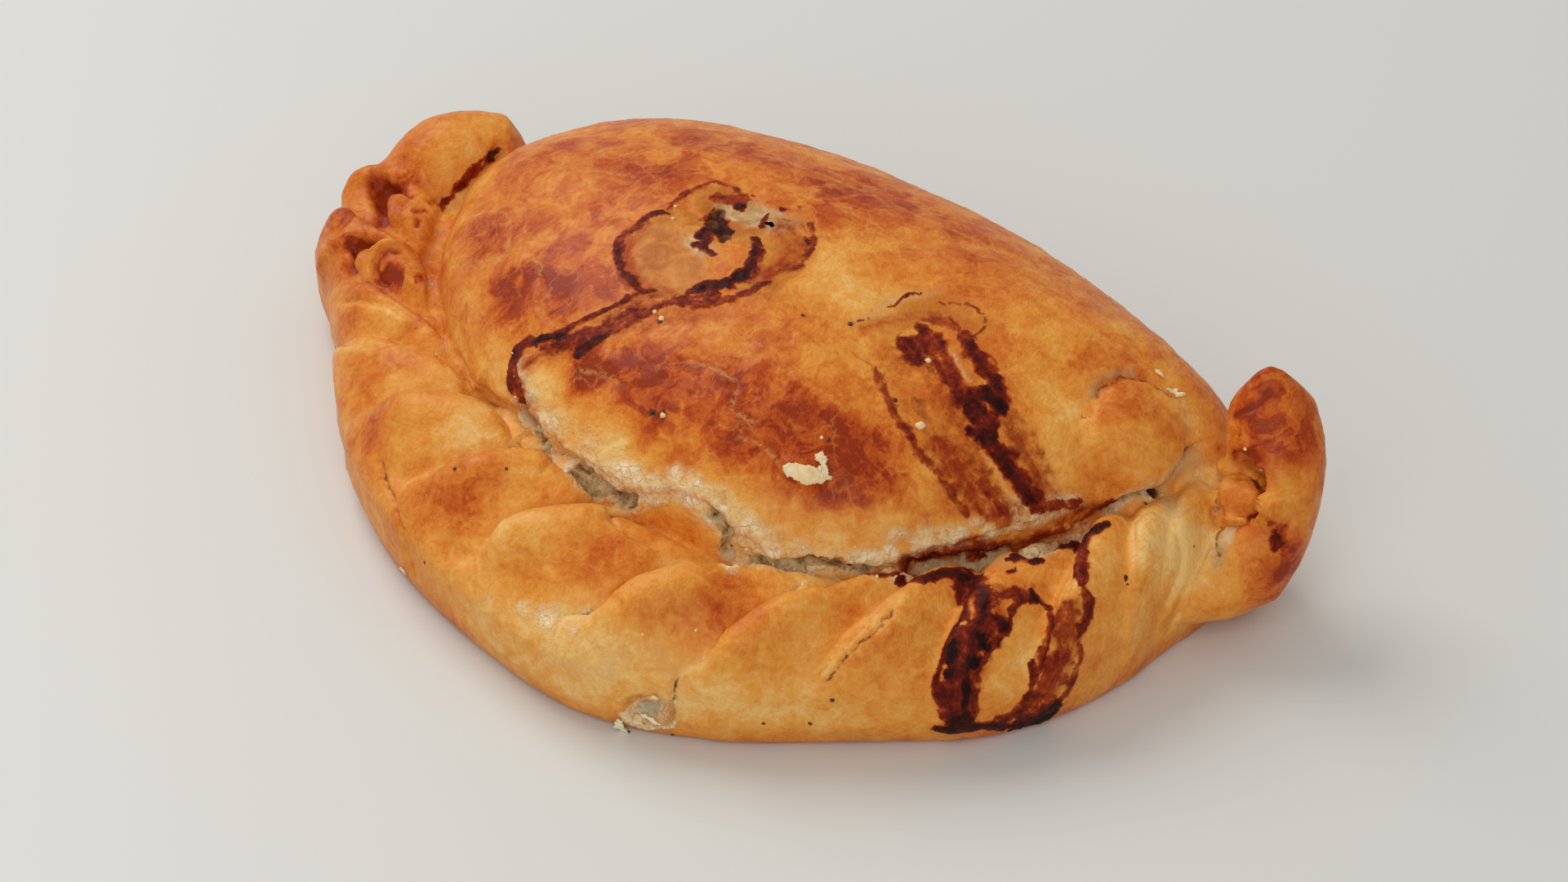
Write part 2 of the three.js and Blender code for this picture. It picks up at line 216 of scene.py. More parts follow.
# Gravy that boiled out and dried: how far it reaches to each side, how thick it lies, and its spots.
GRAVY = [
    Line(0.9, 0.46, [(611, 182), (598, 194), (588, 204), (575, 216), (561, 231), (547, 244), (536, 253)]),
    Line(0.9, 0.36, [(1556, 640), (1559, 650), (1561, 658)]),
    Line(1.4, 0.6, [(1561, 656), (1563, 663), (1564, 670)]),
    Line(0.8, 0.62, [(820, 262), (800, 261), (785, 272), (770, 285), (758, 297), (757, 315), (762, 330),
                     (772, 342), (785, 355)]),
    Line(0.6, 0.45, [(812, 258), (830, 245), (845, 235), (870, 224), (885, 224), (900, 229), (912, 238),
                     (925, 240)]),
    Line(0.6, 0.42, [(956, 256), (975, 254), (988, 264), (995, 285), (996, 300), (988, 316), (972, 327),
                     (952, 334)]),
    Line(0.8, 0.48, [(945, 345), (925, 354), (905, 361), (880, 370), (855, 373), (825, 370), (805, 375),
                     (785, 388), (765, 400)]),
    Line(1.5, 0.48, [(880, 362), (850, 366), (825, 366)]),
    Line(0.6, 0.55, [(800, 356), (785, 358), (770, 366), (755, 373), (740, 380), (715, 392), (697, 402),
                     (680, 410), (665, 414)]),
    Line(1.7, 0.5, [(785, 382), (765, 393), (745, 402), (720, 408), (700, 418), (680, 425)]),
    Line(1.2, 0.72, [(740, 412), (722, 424), (705, 434)]),
    Line(1.4, 0.5, [(660, 418), (645, 420), (634, 432), (630, 450), (632, 470), (638, 490)]),
    Line(0.6, 0.55, [(652, 414), (636, 424), (626, 442), (624, 460), (628, 480)]),
    Line(1.5, 0.2, [(800, 368), (770, 380), (740, 395)]),
    Line(1.3, 0.7, [(925, 292), (928, 305), (922, 322), (912, 336), (898, 345), (880, 347), (862, 352),
                    (845, 356)]),
    Line(1.4, 0.42, [(870, 245), (890, 243), (915, 245)]),
    Line(1.4, 0.6, [(870, 262), (866, 285), (862, 298)]),
    Line(0.6, 0.55, [(845, 298), (862, 304), (876, 312)]),
    Line(1.9, 0.6, [(1104, 418), (1114, 428), (1124, 440)]),
    Line(2.5, 0.54, [(1131, 405), (1147, 429), (1166, 462), (1185, 490), (1198, 518)]),
    Line(1.2, 0.34, [(1130, 392), (1150, 392), (1172, 400)]),
    Line(2.1, 0.6, [(1198, 520), (1218, 546), (1236, 574), (1256, 598), (1274, 615)]),
    Line(1.7, 0.58, [(1180, 410), (1189, 429), (1203, 448), (1217, 467), (1223, 487), (1216, 506)]),
    Line(2.2, 0.68, [(1190, 495), (1205, 510), (1215, 530)]),
    Line(3.2, 0.32, [(1150, 545), (1178, 578), (1203, 605), (1228, 635)]),
    Line(1.2, 0.4, [(1200, 588), (1216, 608), (1230, 628)]),
    Line(0.5, 0.24, [(1040, 429), (1058, 442), (1070, 456), (1078, 470)]),
    Line(0.8, 0.38, [(1072, 455), (1079, 470), (1091, 495), (1105, 523), (1117, 542), (1132, 560),
                     (1147, 579), (1160, 597), (1171, 612), (1185, 632)]),
    Line(0.6, 0.5, [(1098, 515), (1108, 530), (1116, 545)]),
    Line(0.3, 0.36, [(1150, 370), (1180, 372), (1199, 380), (1206, 394), (1200, 407), (1186, 414)]),
    Line(0.3, 0.45, [(1085, 376), (1097, 370), (1112, 361), (1130, 358)]),
    Line(0.3, 0.4, [(1046, 392), (1056, 391), (1066, 390)]),
    Line(0.9, 0.46, [(1262, 622), (1280, 620), (1300, 617), (1325, 615)]),
    Line(0.8, 0.6, [(1133, 712), (1150, 706), (1166, 702), (1177, 709), (1184, 722), (1183, 738),
                    (1178, 755), (1170, 770), (1163, 785), (1157, 800), (1152, 815), (1147, 830),
                    (1150, 845), (1157, 860)]),
    Line(0.7, 0.56, [(1272, 733), (1260, 734), (1250, 738), (1240, 748), (1235, 762), (1227, 778),
                     (1216, 792), (1204, 809), (1197, 824), (1194, 842), (1192, 862), (1190, 882)]),
    Line(3.3, 0.64, [(1192, 712), (1200, 745), (1192, 775), (1184, 800)]),
    Line(2.9, 0.6, [(1184, 798), (1172, 828), (1170, 858), (1172, 885)]),
    Line(1.1, 0.46, [(1212, 728), (1235, 727), (1256, 728), (1272, 732)]),
    Line(0.7, 0.5, [(1277, 736), (1286, 748), (1287, 765), (1282, 785), (1276, 803), (1270, 820),
                    (1264, 840), (1256, 856), (1246, 868), (1234, 880)]),
    Line(2.8, 0.32, [(1308, 745), (1304, 780), (1298, 810)]),
    Line(2.9, 0.4, [(1298, 800), (1290, 830), (1278, 852), (1262, 872)]),
    Line(1.2, 0.62, [(1354, 643), (1342, 652), (1331, 666), (1326, 682), (1323, 700), (1321, 716)]),
    Line(1.2, 0.52, [(1325, 722), (1332, 738), (1327, 757), (1319, 774)]),
    Line(0.9, 0.42, [(1317, 785), (1322, 803), (1315, 822), (1309, 842), (1298, 858)]),
    Line(1.1, 0.8, [(1146, 894), (1180, 892), (1210, 891), (1237, 889)]),
    Line(1.7, 0.84, [(1237, 888), (1260, 881), (1280, 871), (1294, 861)]),
    Line(0.9, 0.64, [(1130, 693), (1150, 687), (1175, 679), (1200, 677), (1230, 675)]),
    Line(1.2, 0.72, [(1235, 684), (1255, 682), (1275, 686)]),
    Line(1.2, 0.72, [(1296, 668), (1312, 665), (1325, 672)]),
    Line(1.4, 0.3, [(1140, 680), (1170, 670), (1210, 660)]),
    Line(1.5, 0.36, [(810, 366), (785, 376), (760, 388), (735, 402)]),
    Line(1.1, 0.5, [(740, 402), (715, 414), (690, 424), (665, 426)]),
    Line(1.1, 0.64, [(1098, 712), (1125, 709), (1150, 703), (1175, 700), (1192, 708)]),
    Line(1.5, 0.5, [(1262, 846), (1252, 864), (1238, 877), (1216, 887)]),
    Line(0.6, 0.36, [(1304, 735), (1306, 756), (1300, 778), (1296, 800)]),
    Line(1.2, 0.26, [(955, 268), (978, 280), (980, 300), (960, 318)]),
    Line(0.6, 0.3, [(1228, 505), (1242, 530), (1258, 562), (1275, 600)]),
    Line(0.5, 0.24, [(1236, 490), (1250, 510), (1262, 530), (1280, 562), (1290, 585)]),
    Line(0.5, 0.24, [(1120, 490), (1140, 520), (1165, 552), (1190, 580)]),
    Line(0.6, 0.22, [(1128, 470), (1150, 505), (1172, 535)]),
    Line(0.6, 0.5, [(1040, 700), (1070, 703), (1098, 700), (1125, 693)]),
    Line(0.8, 0.42, [(1130, 684), (1160, 675), (1200, 668), (1235, 665)]),
    Line(0.9, 0.5, [(1150, 697), (1180, 694), (1210, 692)]),
    Line(0.5, 0.5, [(1335, 622), (1356, 616), (1375, 612)]),
]

# Ridges of pale dough that stand out of the gravy, and how far, in mm.
RIDGES = [
    Line(1.2, 0.25, [(1160, 422), (1168, 440), (1180, 460), (1193, 478)]),
    Line(0.7, 0.2, [(1198, 545), (1210, 562), (1224, 582), (1236, 600), (1250, 618)]),
    Line(0.6, 0.3, [(1192, 730), (1190, 745), (1189, 758)]),
    Line(0.5, 0.3, [(858, 310), (868, 320), (866, 332)]),
]

# Black clots in the gravy and round the vents.
CLOTS = [
    Line(0.9, 0.72, [(612, 184), (603, 192), (597, 198)]),
    Line(1, 0.8, [(873, 256), (876, 262)]),
    Line(2, 0.9, [(872, 262), (880, 275), (886, 288)]),
    Line(1.7, 0.95, [(868, 270), (880, 272)]),
    Line(1.2, 0.92, [(888, 280), (893, 286)]),
    Line(1, 0.8, [(862, 283), (858, 292)]),
    Line(0.9, 0.7, [(904, 250), (906, 256)]),
    Line(0.7, 0.6, [(958, 254), (962, 258)]),
    Line(1.1, 0.6, [(928, 308), (922, 322)]),
    Line(1.5, 0.9, [(912, 334), (900, 344)]),
    Line(1.2, 0.88, [(888, 345), (878, 350)]),
    Line(0.8, 0.75, [(866, 352), (852, 356)]),
    Line(0.9, 0.82, [(690, 410), (672, 414), (655, 418)]),
    Line(0.9, 0.66, [(735, 418), (715, 430)]),
    Line(1.4, 0.84, [(1205, 475), (1215, 490)]),
    Line(1.4, 0.86, [(1222, 492), (1226, 503)]),
    Line(1.6, 0.76, [(1185, 500), (1200, 515)]),
    Line(1.2, 0.76, [(1188, 525), (1202, 535)]),
    Line(0.9, 0.74, [(1215, 555), (1230, 573)]),
    Line(1.4, 0.7, [(1250, 598), (1262, 610)]),
    Line(0.9, 0.58, [(1135, 408), (1138, 414)]),
    Line(1.2, 0.56, [(1104, 425), (1118, 428)]),
    Line(1.2, 0.78, [(1208, 735), (1207, 745)]),
    Line(1.1, 0.74, [(1213, 753), (1227, 764)]),
    Line(1.2, 0.82, [(1230, 762), (1226, 770)]),
    Line(1.8, 1, [(1203, 783), (1208, 794)]),
    Line(1.2, 0.95, [(1198, 806), (1187, 817)]),
    Line(0.9, 0.92, [(1184, 830), (1181, 848)]),
    Line(1.1, 0.92, [(1168, 788), (1163, 812)]),
    Line(1.4, 0.88, [(1163, 820), (1160, 828)]),
    Line(1.1, 0.8, [(1172, 703), (1178, 712)]),
    Line(1.6, 0.78, [(1165, 882), (1185, 880)]),
    Line(1.1, 0.74, [(1350, 648), (1335, 660)]),
    Line(1.1, 1, [(1240, 897), (1265, 888), (1283, 877), (1297, 864)]),
    Line(0.4, 0.7, [(1318, 770), (1323, 760)]),
    Line(0.7, 0.8, [(1234, 698), (1242, 698)]),
    Line(0.9, 0.8, [(1170, 703), (1188, 712)]),
    Line(0.6, 0.85, [(885, 265), (890, 274)]),
    Line(1.4, 0.95, [(1245, 890), (1262, 884), (1278, 876)]),
    Line(0.5, 0.85, [(1262, 722), (1270, 735)]),
    Line(0.6, 0.7, [(1262, 808), (1266, 830)]),
    Line(0.4, 0.5, [(985, 288), (990, 300)]),
    Line(0.6, 0.55, [(940, 262), (932, 280)]),
    Line(0.6, 0.8, [(1262, 690), (1280, 684)]),
    Line(0.8, 0.8, [(1183, 840), (1180, 862)]),
]

# Thin gravy that soaked in round the runs.
WASHES = [
    Line(4.5, 0.27, [(800, 365), (770, 385), (740, 400), (700, 420), (650, 440), (635, 480), (650, 505)]),
    Line(2.2, 0.27, [(790, 275), (768, 310), (785, 345), (820, 360)]),
    Line(4, 0.3, [(960, 280), (975, 300), (960, 325), (930, 340)]),
    Line(3, 0.27, [(880, 385), (850, 388), (815, 388), (790, 400)]),
    Line(3, 0.24, [(1060, 402), (1085, 396), (1120, 390), (1155, 387), (1185, 397)]),
    Line(4.5, 0.22, [(1085, 430), (1100, 465), (1120, 505), (1142, 545), (1168, 585), (1188, 610)]),
    Line(4.5, 0.27, [(1115, 430), (1142, 475), (1175, 530), (1212, 580), (1240, 618)]),
    Line(4, 0.27, [(1228, 505), (1250, 540), (1272, 585), (1285, 615)]),
    Line(3.2, 0.36, [(1110, 692), (1150, 682), (1190, 674), (1240, 668), (1290, 650), (1340, 625)]),
    Line(3.8, 0.33, [(1205, 735), (1215, 770), (1195, 810), (1180, 850), (1178, 885)]),
    Line(3.4, 0.24, [(1310, 740), (1303, 790), (1294, 830), (1280, 862)]),
    Line(2, 0.24, [(1215, 720), (1245, 716), (1280, 716)]),
]

# Smooth tan dough that boiled up round the vents, and the grey dough that never browned.
TAN = [
    Line(6.5, 0.8, [(821, 276), (814, 309), (829, 336)]),
    Line(6, 0.7, [(879, 245), (914, 279), (956, 307), (929, 341)]),
    Line(3.4, 0.6, [(1092, 402), (1115, 384), (1150, 376), (1188, 386), (1198, 402)]),
    Line(3.5, 0.3, [(1089, 422), (1120, 471), (1159, 521)]),
]
GREY = [
    Line(4.5, 1, [(896, 253), (925, 265), (950, 274)]),
    Line(2.5, 0.8, [(851, 291), (862, 304)]),
    Line(2, 0.45, [(1056, 391), (1080, 380), (1108, 359), (1146, 359)]),
    Line(1.5, 0.5, [(1332, 488), (1360, 456), (1386, 452)]),
    Line(3, 0.5, [(1180, 693), (1235, 684), (1281, 662)]),
    Line(3, 0.6, [(1465, 562), (1432, 581), (1440, 624)]),
    Line(2, 0.8, [(1500, 655), (1497, 670), (1492, 690)]),
    Line(4.5, 0.35, [(680, 800), (730, 820), (766, 795), (830, 820)]),
]

# Boiled-out holes and burnt spots: their spot, radius and depth in mm, and how black they are.
PITS = [
    ((878, 260), 1.7, 1.2, 0.6), ((868, 276), 1.4, 1.2, 0.6), ((883, 290), 1, 0.8, 0.6),
    ((540, 485), 0.8, 0.4, 0.5), ((567, 488), 0.7, 0.4, 0.5), ((1330, 510), 0.7, 0.6, 0.35),
    ((1418, 598), 1, 1.5, 0.7), ((1402, 612), 0.8, 1.5, 0.6), ((1489, 679), 0.7, 1.4, 0.3),
    ((606, 185), 1.4, 2.2, 0.25), ((715, 580), 1.2, 1.5, 0.3), ((765, 619), 1.1, 1.2, 0.25),
    ((666, 546), 1.1, 1.5, 0.3), ((890, 678), 1.1, 1.5, 0.35), ((1240, 695), 0.9, 1.4, 0.6),
    ((573, 562), 1, 0.8, 0), ((512, 529), 2.4, 0.4, 0), ((1378, 707), 0.9, 0, 0.7),
    ((1381, 718), 0.6, 0, 0.6), ((777, 891), 0.6, 0.5, 0.55), ((800, 505), 0.9, 0.1, 0.8),
    ((815, 503), 0.6, 0.1, 0.7),
]

# The disc on the right of the lid where the filling pushes up.
SWELLING = (1399, 530)
SWELLING_REACH = 11.5
SWELLING_RISE = 1.5

# Patches of the bake, and of painted light: a spot, how far the patch reaches in mm, and how much browner or
# paler it is.
BAKE_AND_LIGHT_PATCHES = [
    ((600, 780), 12, -0.12), ((760, 850), 12, -0.08), ((950, 880), 14, -0.06), ((1400, 740), 10, -0.1),
    ((797, 275), 7, 0.12), ((703, 455), 6, 0.2), ((825, 497), 6, 0.14), ((600, 290), 6, 0.1),
    ((656, 234), 6, 0.12), ((778, 347), 5, 0.1), ((1090, 335), 5, 0.14), ((520, 530), 7, -0.22),
    ((570, 515), 6, -0.15), ((1125, 612), 6, -0.28), ((1085, 640), 5, -0.15), ((619, 656), 5, -0.12),
    ((790, 728), 5, -0.14), ((1080, 738), 6, -0.16), ((1120, 735), 5, -0.1), ((1031, 469), 6, -0.1),
    ((480, 560), 6, -0.15), ((1575, 590), 6, -0.14), ((1440, 500), 6, -0.15), ((1410, 530), 5, -0.12),
    ((700, 650), 6, -0.14), ((640, 590), 6, -0.14), ((985, 765), 6, -0.16), ((840, 720), 5, -0.12),
    # Painted light: the paler patches at (1360, 690) and (1425, 655) lighten right-hand folds that face away
    # from the window lamp.
    ((1490, 560), 6, -0.15), ((1360, 690), 7, -0.2), ((1425, 655), 8, -0.42),
    ((650, 340), 9, 0.26), ((620, 365), 6, 0.15), ((720, 345), 8, 0.19), ((585, 290), 6, 0.11),
    ((830, 450), 8, 0.3), ((775, 445), 6, 0.19), ((900, 480), 7, 0.19), ((780, 500), 6, 0.22),
    ((930, 540), 8, 0.22), ((965, 500), 5, 0.15), ((1053, 574), 9, 0.3), ((1020, 600), 7, 0.19),
    ((1010, 520), 6, 0.15), ((801, 209), 10, 0.11), ((887, 190), 12, 0.15), ((700, 178), 12, 0.11),
    ((1104, 246), 12, 0.09), ((1145, 626), 7, 0.15), ((1030, 330), 8, -0.33), ((1090, 347), 8, -0.28),
    ((760, 560), 7, -0.39), ((700, 500), 7, -0.39), ((660, 480), 5, -0.33), ((901, 634), 7, -0.36),
    ((1011, 670), 8, -0.33), ((1280, 470), 9, -0.17), ((1304, 551), 8, -0.22), ((565, 389), 7, -0.17),
    ((604, 431), 5, -0.22), ((952, 390), 10, 0.06), ((470, 400), 8, 0.11), ((461, 549), 9, 0.15),
    ((697, 801), 12, -0.33), ((865, 865), 14, -0.18), ((1049, 876), 12, -0.11), ((557, 677), 8, -0.055),
    ((1470, 590), 6, -0.33), ((1248, 817), 5, -0.22), ((1560, 480), 9, 0.26),
    ((1586, 578), 8, 0.22), ((1536, 635), 6, -0.055), ((1560, 720), 8, 0.11), ((1530, 556), 4, 0.19),
    ((1552, 592), 4, 0.22), ((1438, 527), 4, 0.26), ((1389, 484), 5, 0.11),
    ((426, 270), 12, 0.14), ((399, 353), 9, 0.1), ((528, 186), 9, 0.1), ((432, 382), 9, 0.08),
    ((740, 260), 5, 0.15), ((720, 460), 4.5, 0.3), ((700, 490), 4, 0.2), ((700, 370), 5, 0.1),
    ((560, 640), 5, 0.15), ((1070, 335), 5, 0.25), ((1200, 330), 7, 0.1), ((1560, 700), 6, 0.25),
    ((1500, 720), 5, -0.05), ((620, 400), 5, 0.1), ((560, 260), 5, -0.35), ((470, 400), 6, -0.28),
    ((1280, 380), 6, -0.2), ((1450, 520), 5, -0.3), ((640, 650), 6, -0.25), ((1590, 600), 4, -0.1),
    ((870, 430), 5, -0.15), ((900, 200), 6, -0.1), ((640, 200), 7, 0.05),
    ((560, 480), 6, -0.22), ((590, 540), 6, -0.3), ((480, 480), 6, -0.16), ((820, 690), 5, -0.25),
    ((600, 740), 7, -0.16), ((560, 190), 5, -0.2), ((450, 330), 6, -0.1),
    ((1465, 680), 6, -0.25), ((1590, 600), 5, -0.12),
    ((700, 230), 6, -0.12), ((1000, 230), 9, 0.2), ((900, 760), 6, 0.16),
    ((800, 560), 5, 0.15), ((500, 230), 4, 0.15), ((950, 560), 5, 0.12), ((1300, 430), 6, 0.08),
    ((1400, 700), 6, 0.14), ((660, 600), 6, -0.08), ((650, 340), 8, -0.06),
    ((590, 590), 5, 0.08), ((720, 680), 5, 0.08), ((1075, 780), 4, 0.06), ((450, 480), 6, 0.1),
    # Painted light: the patch at (1545, 587) lightens the ear's hollow against its shade.
    ((1545, 587), 3, -0.4), ((1595, 700), 6, 0.12), ((540, 190), 8, -0.12), ((590, 160), 7, -0.1),
    ((1420, 690), 6, -0.1), ((760, 850), 10, 0.05),
]

# The browned middles of the folds.
BROWNED = [
    Line(7, 0.05, [(449, 517), (488, 513), (538, 514), (586, 519)]),
    Line(6, 0.07, [(520, 625), (574, 610), (640, 600), (690, 600)]),
    Line(5.5, 0.09, [(635, 690), (680, 680), (716, 681), (760, 680), (790, 690)]),
    Line(5, 0.09, [(768, 760), (800, 748), (837, 739), (870, 722), (900, 707)]),
    Line(4.5, 0.06, [(928, 784), (960, 775), (992, 772), (1025, 755), (1053, 738)]),
    Line(4.5, 0.05, [(1039, 821), (1085, 790), (1131, 761)]),
    Line(1.8, 0.09, [(1032, 742), (1039, 741)]),
    Line(2.5, 0.05, [(780, 625), (800, 640), (830, 650)]),
]

# Places the glaze missed: a spot, how far it reaches in mm, and how dry it is.
DRY_PATCHES = [
    ((640, 745), 3, 0.6), ((667, 757), 3.5, 0.75), ((700, 770), 3, 0.5), ((600, 735), 2.5, 0.4),
    ((720, 750), 2.5, 0.5), ((790, 705), 2, 0.45), ((820, 700), 2, 0.45), ((561, 316), 2, 0.4),
]

# The tear low on the rope where the onion shows, in mm: its outline along and up the side, how deep it is,
# and how far back it goes.
TEAR = [
    (14.6, 5), (17, 5.4), (19.6, 7), (23.4, 9), (23.2, 6), (22.6, 4), (19.5, 1.8), (16.5, 1.6), (14.8, 3.2),
]
TEAR_DEPTH = 0.6
TEAR_BACK = -59


def smoothstep(low, high, x):
    share = np.clip((x - low) / (high - low), 0, 1)
    return share * share * (3 - 2 * share)


def bell(x, width):
    return np.exp(-((x / width) ** 2))


def rough(points, size, octaves, seed):
    """Fractal noise, about -1 to 1, with lumps of that size in mm."""
    shift = np.array((3.7, 1.3, 8.1)) * seed
    return np.array([noise.fractal(p, 0.9, 2.0, octaves) for p in (points / size + shift).tolist()])


def inside_outline(x, y, outline):
    """Which points lie inside a closed outline."""
    inside = np.zeros(len(x), bool)
    for (ax, ay), (bx, by) in zip(outline, outline[1:] + outline[:1]):
        crosses = (ay > y) != (by > y)
        inside ^= crosses & (x < (bx - ax) * (y - ay) / ((by - ay) or 1e-9) + ax)
    return inside


def neighbour_mean(values, edges, count):
    """The mean of each vertex's neighbours."""
    total = np.zeros_like(values)
    for a, b in ((0, 1), (1, 0)):
        for axis in range(values.shape[1]):
            total[:, axis] += np.bincount(edges[:, a], values[edges[:, b], axis], count)
    return total / np.maximum(np.bincount(edges.ravel(), minlength=count), 1)[:, None]


def rows_of(items, name, width, kind=np.float32):
    """One property of all items of a mesh, a row for each."""
    values = np.empty(len(items) * width, kind)
    items.foreach_get(name, values)
    return values.reshape(-1, width)


def read_mesh(mesh):
    """Places in mm, normals and edges of a mesh."""
    places = rows_of(mesh.vertices, "co", 3).astype(float) / MM
    normals = rows_of(mesh.vertex_normals, "vector", 3).astype(float)
    return places, normals, rows_of(mesh.edges, "vertices", 2, np.int32)


def tree_of(places, mesh):
    """What finds the nearest place on a mesh, or where a ray meets it."""
    return BVHTree.FromPolygons(places.tolist(), [tuple(p.vertices) for p in mesh.polygons])


def camera_turn():
    return (Vector(CAMERA_TARGET) - Vector(CAMERA_PLACE)).to_track_quat("-Z", "Y")


def seen(tree, spot):
    """Where on a skin, in mm, the camera sees a spot. One just off the pasty is drawn in to it."""
    middle = Vector(VIEW_SIZE) / 2
    pixel = SENSOR / CAMERA_LENS / VIEW_SIZE[0]
    for inwards in (0, 0.01, 0.02, 0.04, 0.08):
        across, down = (Vector(spot).lerp(middle, inwards) - middle) * pixel
        place = tree.ray_cast(CAMERA_PLACE, camera_turn() @ Vector((across, -down, -1)))[0]
        if place:
            return place
    raise ValueError(f"nothing is seen at {spot}")


class Skin:
    """The skin of the crust: how far each place is lifted, in mm, and what is painted on it."""

    def __init__(self, mesh):
        self.places, self.normals, edges = read_mesh(mesh)
        self.count = len(self.places)
        self.tree = tree_of(self.places, mesh)
        self.lift = np.zeros(self.count)
        self.paint = {name: np.zeros(self.count) for name in PAINTS}
        soft = self.places
        for _ in range(FORM_SOFTENING):
            soft = 0.5 * soft + 0.5 * neighbour_mean(soft, edges, self.count)
        self.proud = ((self.places - soft) * self.normals).sum(1)
        outline = [SEAM_BACK[0], *[seen(self.tree, spot)[:2] for spot in SEAM], SEAM_BACK[1]]
        on_lid = inside_outline(self.places[:, 0], self.places[:, 1], outline)
        self.on_lid = on_lid * smoothstep(12, 18, self.places[:, 2])
        self.bent = self.wander((8, 0.8, 4), (2.5, 0.3, 5))
        self.torn = self.wander((6, 1.2, 1), (2, 0.8, 2), (0.9, 0.35, 3))
        self.runny = self.wander((3.5, 0.6, 7), (1.1, 0.35, 8))

    def wander(self, *waves):
        """The places moved along the skin by waves of noise, so that what is measured from them wanders."""
        ways = self.places
        for size, reach, seed in waves:
            shift = np.array((5.1, 9.2, 2.3)) * seed
            drift = np.array([noise.noise_vector(p) for p in (self.places / size + shift).tolist()])
            drift -= (drift * self.normals).sum(1)[:, None] * self.normals
            ways = ways + drift * reach
        return ways

    def off(self, ways, spot):
        """How far each place is from a spot, in mm."""
        return np.linalg.norm(ways - np.array(seen(self.tree, spot)), axis=1)

    def lay(self, spots):
        """A smooth line through the spots, stepped evenly and laid onto the skin."""
        given = [seen(self.tree, spot) for spot in spots]
        ends = [given[0] * 2 - given[1], *given, given[-1] * 2 - given[-2]]
        line = []
        for before, start, end, after in zip(ends, ends[1:], ends[2:], ends[3:]):
            steps = max(1, round((end - start).length / LINE_STEP))
            for t in (i / steps for i in range(steps)):
                even = 2 * before - 5 * start + 4 * end - after
                odd = 3 * start - before - 3 * end + after
                line.append(0.5 * (2 * start + (end - before) * t + even * t * t + odd * t * t * t))
        line.append(given[-1])
        return np.array([self.tree.find_nearest(p)[0] for p in line])

    def measure(self, spots, ways, reach):
        """How far each place is from a line, how far to the right of its way, and the share of its length."""
        line = self.lay(spots)
        away = np.full(self.count, FAR)
        side = np.full(self.count, FAR)
        share = np.zeros(self.count)
        near = np.flatnonzero(((ways > line.min(0) - reach) & (ways < line.max(0) + reach)).all(1))
        there = ways[near]
        up = self.normals[near]
        closest = np.full(len(near), FAR)
        right = np.zeros(len(near))
        at = np.zeros(len(near))
        for i, (start, end) in enumerate(zip(line, line[1:])):
            step = end - start
            t = np.clip((there - start) @ step / max(step @ step, 1e-9), 0, 1)
            offset = there - start - t[:, None] * step
            gap = np.linalg.norm(offset, axis=1)
            nearer = gap < closest
            closest[nearer] = gap[nearer]
            at[nearer] = (i + t[nearer]) / (len(line) - 1)
            right[nearer] = np.sign((offset[nearer] * np.cross(step, up[nearer])).sum(1))
        away[near] = closest
        side[near] = closest * right
        share[near] = at
        return away, side, share

    def add(self, name, values):
        self.paint[name] = np.maximum(self.paint[name], values)


def with_modifiers(mesh, *modifiers):
    """A new mesh: the given one after these modifiers, each a (type, settings) pair."""
    carrier = bpy.data.objects.new("carrier", mesh)
    bpy.context.scene.collection.objects.link(carrier)
    for kind, settings in modifiers:
        modifier = carrier.modifiers.new(kind, kind)
        for key, value in settings.items():
            setattr(modifier, key, value)
    made = bpy.data.meshes.new_from_object(carrier.evaluated_get(bpy.context.evaluated_depsgraph_get()))
    bpy.data.objects.remove(carrier)
    return made


def new_piece(name, mesh, material):
    piece = bpy.data.objects.new(name, mesh)
    bpy.context.scene.collection.objects.link(piece)
    mesh.materials.clear()
    mesh.materials.append(material)
    mesh.polygons.foreach_set("use_smooth", [True] * len(mesh.polygons))
    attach(piece, "root")
    return piece


def piece_of(bm, name, material):
    """A piece made of a bmesh in mm, kept between the floor and the top of the pasty."""
    for vert in bm.verts:
        vert.co.z = min(max(vert.co.z, CLEARANCE), cad_box[1][2] / MM - CLEARANCE)
    bmesh.ops.scale(bm, vec=(MM, MM, MM), verts=bm.verts)
    bmesh.ops.recalc_face_normals(bm, faces=bm.faces)
    mesh = bpy.data.meshes.new(name)
    bm.to_mesh(mesh)
    bm.free()
    return new_piece(name, mesh, material)


# --- shader helpers -------------------------------------------------------------------------------

def colour(red, green, blue):
    """A colour given as 0 to 255 on a screen, as the shader reads it."""
    linear = [c / 255 / 12.92 if c < 11 else ((c / 255 + 0.055) / 1.055) ** 2.4 for c in (red, green, blue)]
    return (*linear, 1.0)


def add(tree, kind, sockets=None, **settings):
    node = tree.nodes.new("ShaderNode" + kind)
    for key, value in settings.items():
        setattr(node, key, value)
    for socket, value in (sockets or {}).items():
        if isinstance(value, bpy.types.NodeSocket):
            tree.links.new(value, node.inputs[socket])
        else:
            node.inputs[socket].default_value = value
    return node


def maths(tree, operation, a, b=0.0, c=0.0):
    return add(tree, "Math", {0: a, 1: b, 2: c}, operation=operation).outputs[0]


def shifted(tree, value, *noises):
    """The value, moved up and down by noises around a half, each a (noise, strength) pair."""
    for lumps, strength in noises:
        value = maths(tree, "ADD", value, maths(tree, "MULTIPLY_ADD", lumps, strength, -0.5 * strength))
    return value


def eased(tree, value, low, high, to_low=0.0, to_high=1.0):
    sockets = {"Value": value, "From Min": low, "From Max": high, "To Min": to_low, "To Max": to_high}
    return add(tree, "MapRange", sockets, interpolation_type="SMOOTHSTEP").outputs[0]


def blend(tree, share, under, over):
    return add(tree, "Mix", {0: share, 6: under, 7: over}, data_type="RGBA").outputs[2]


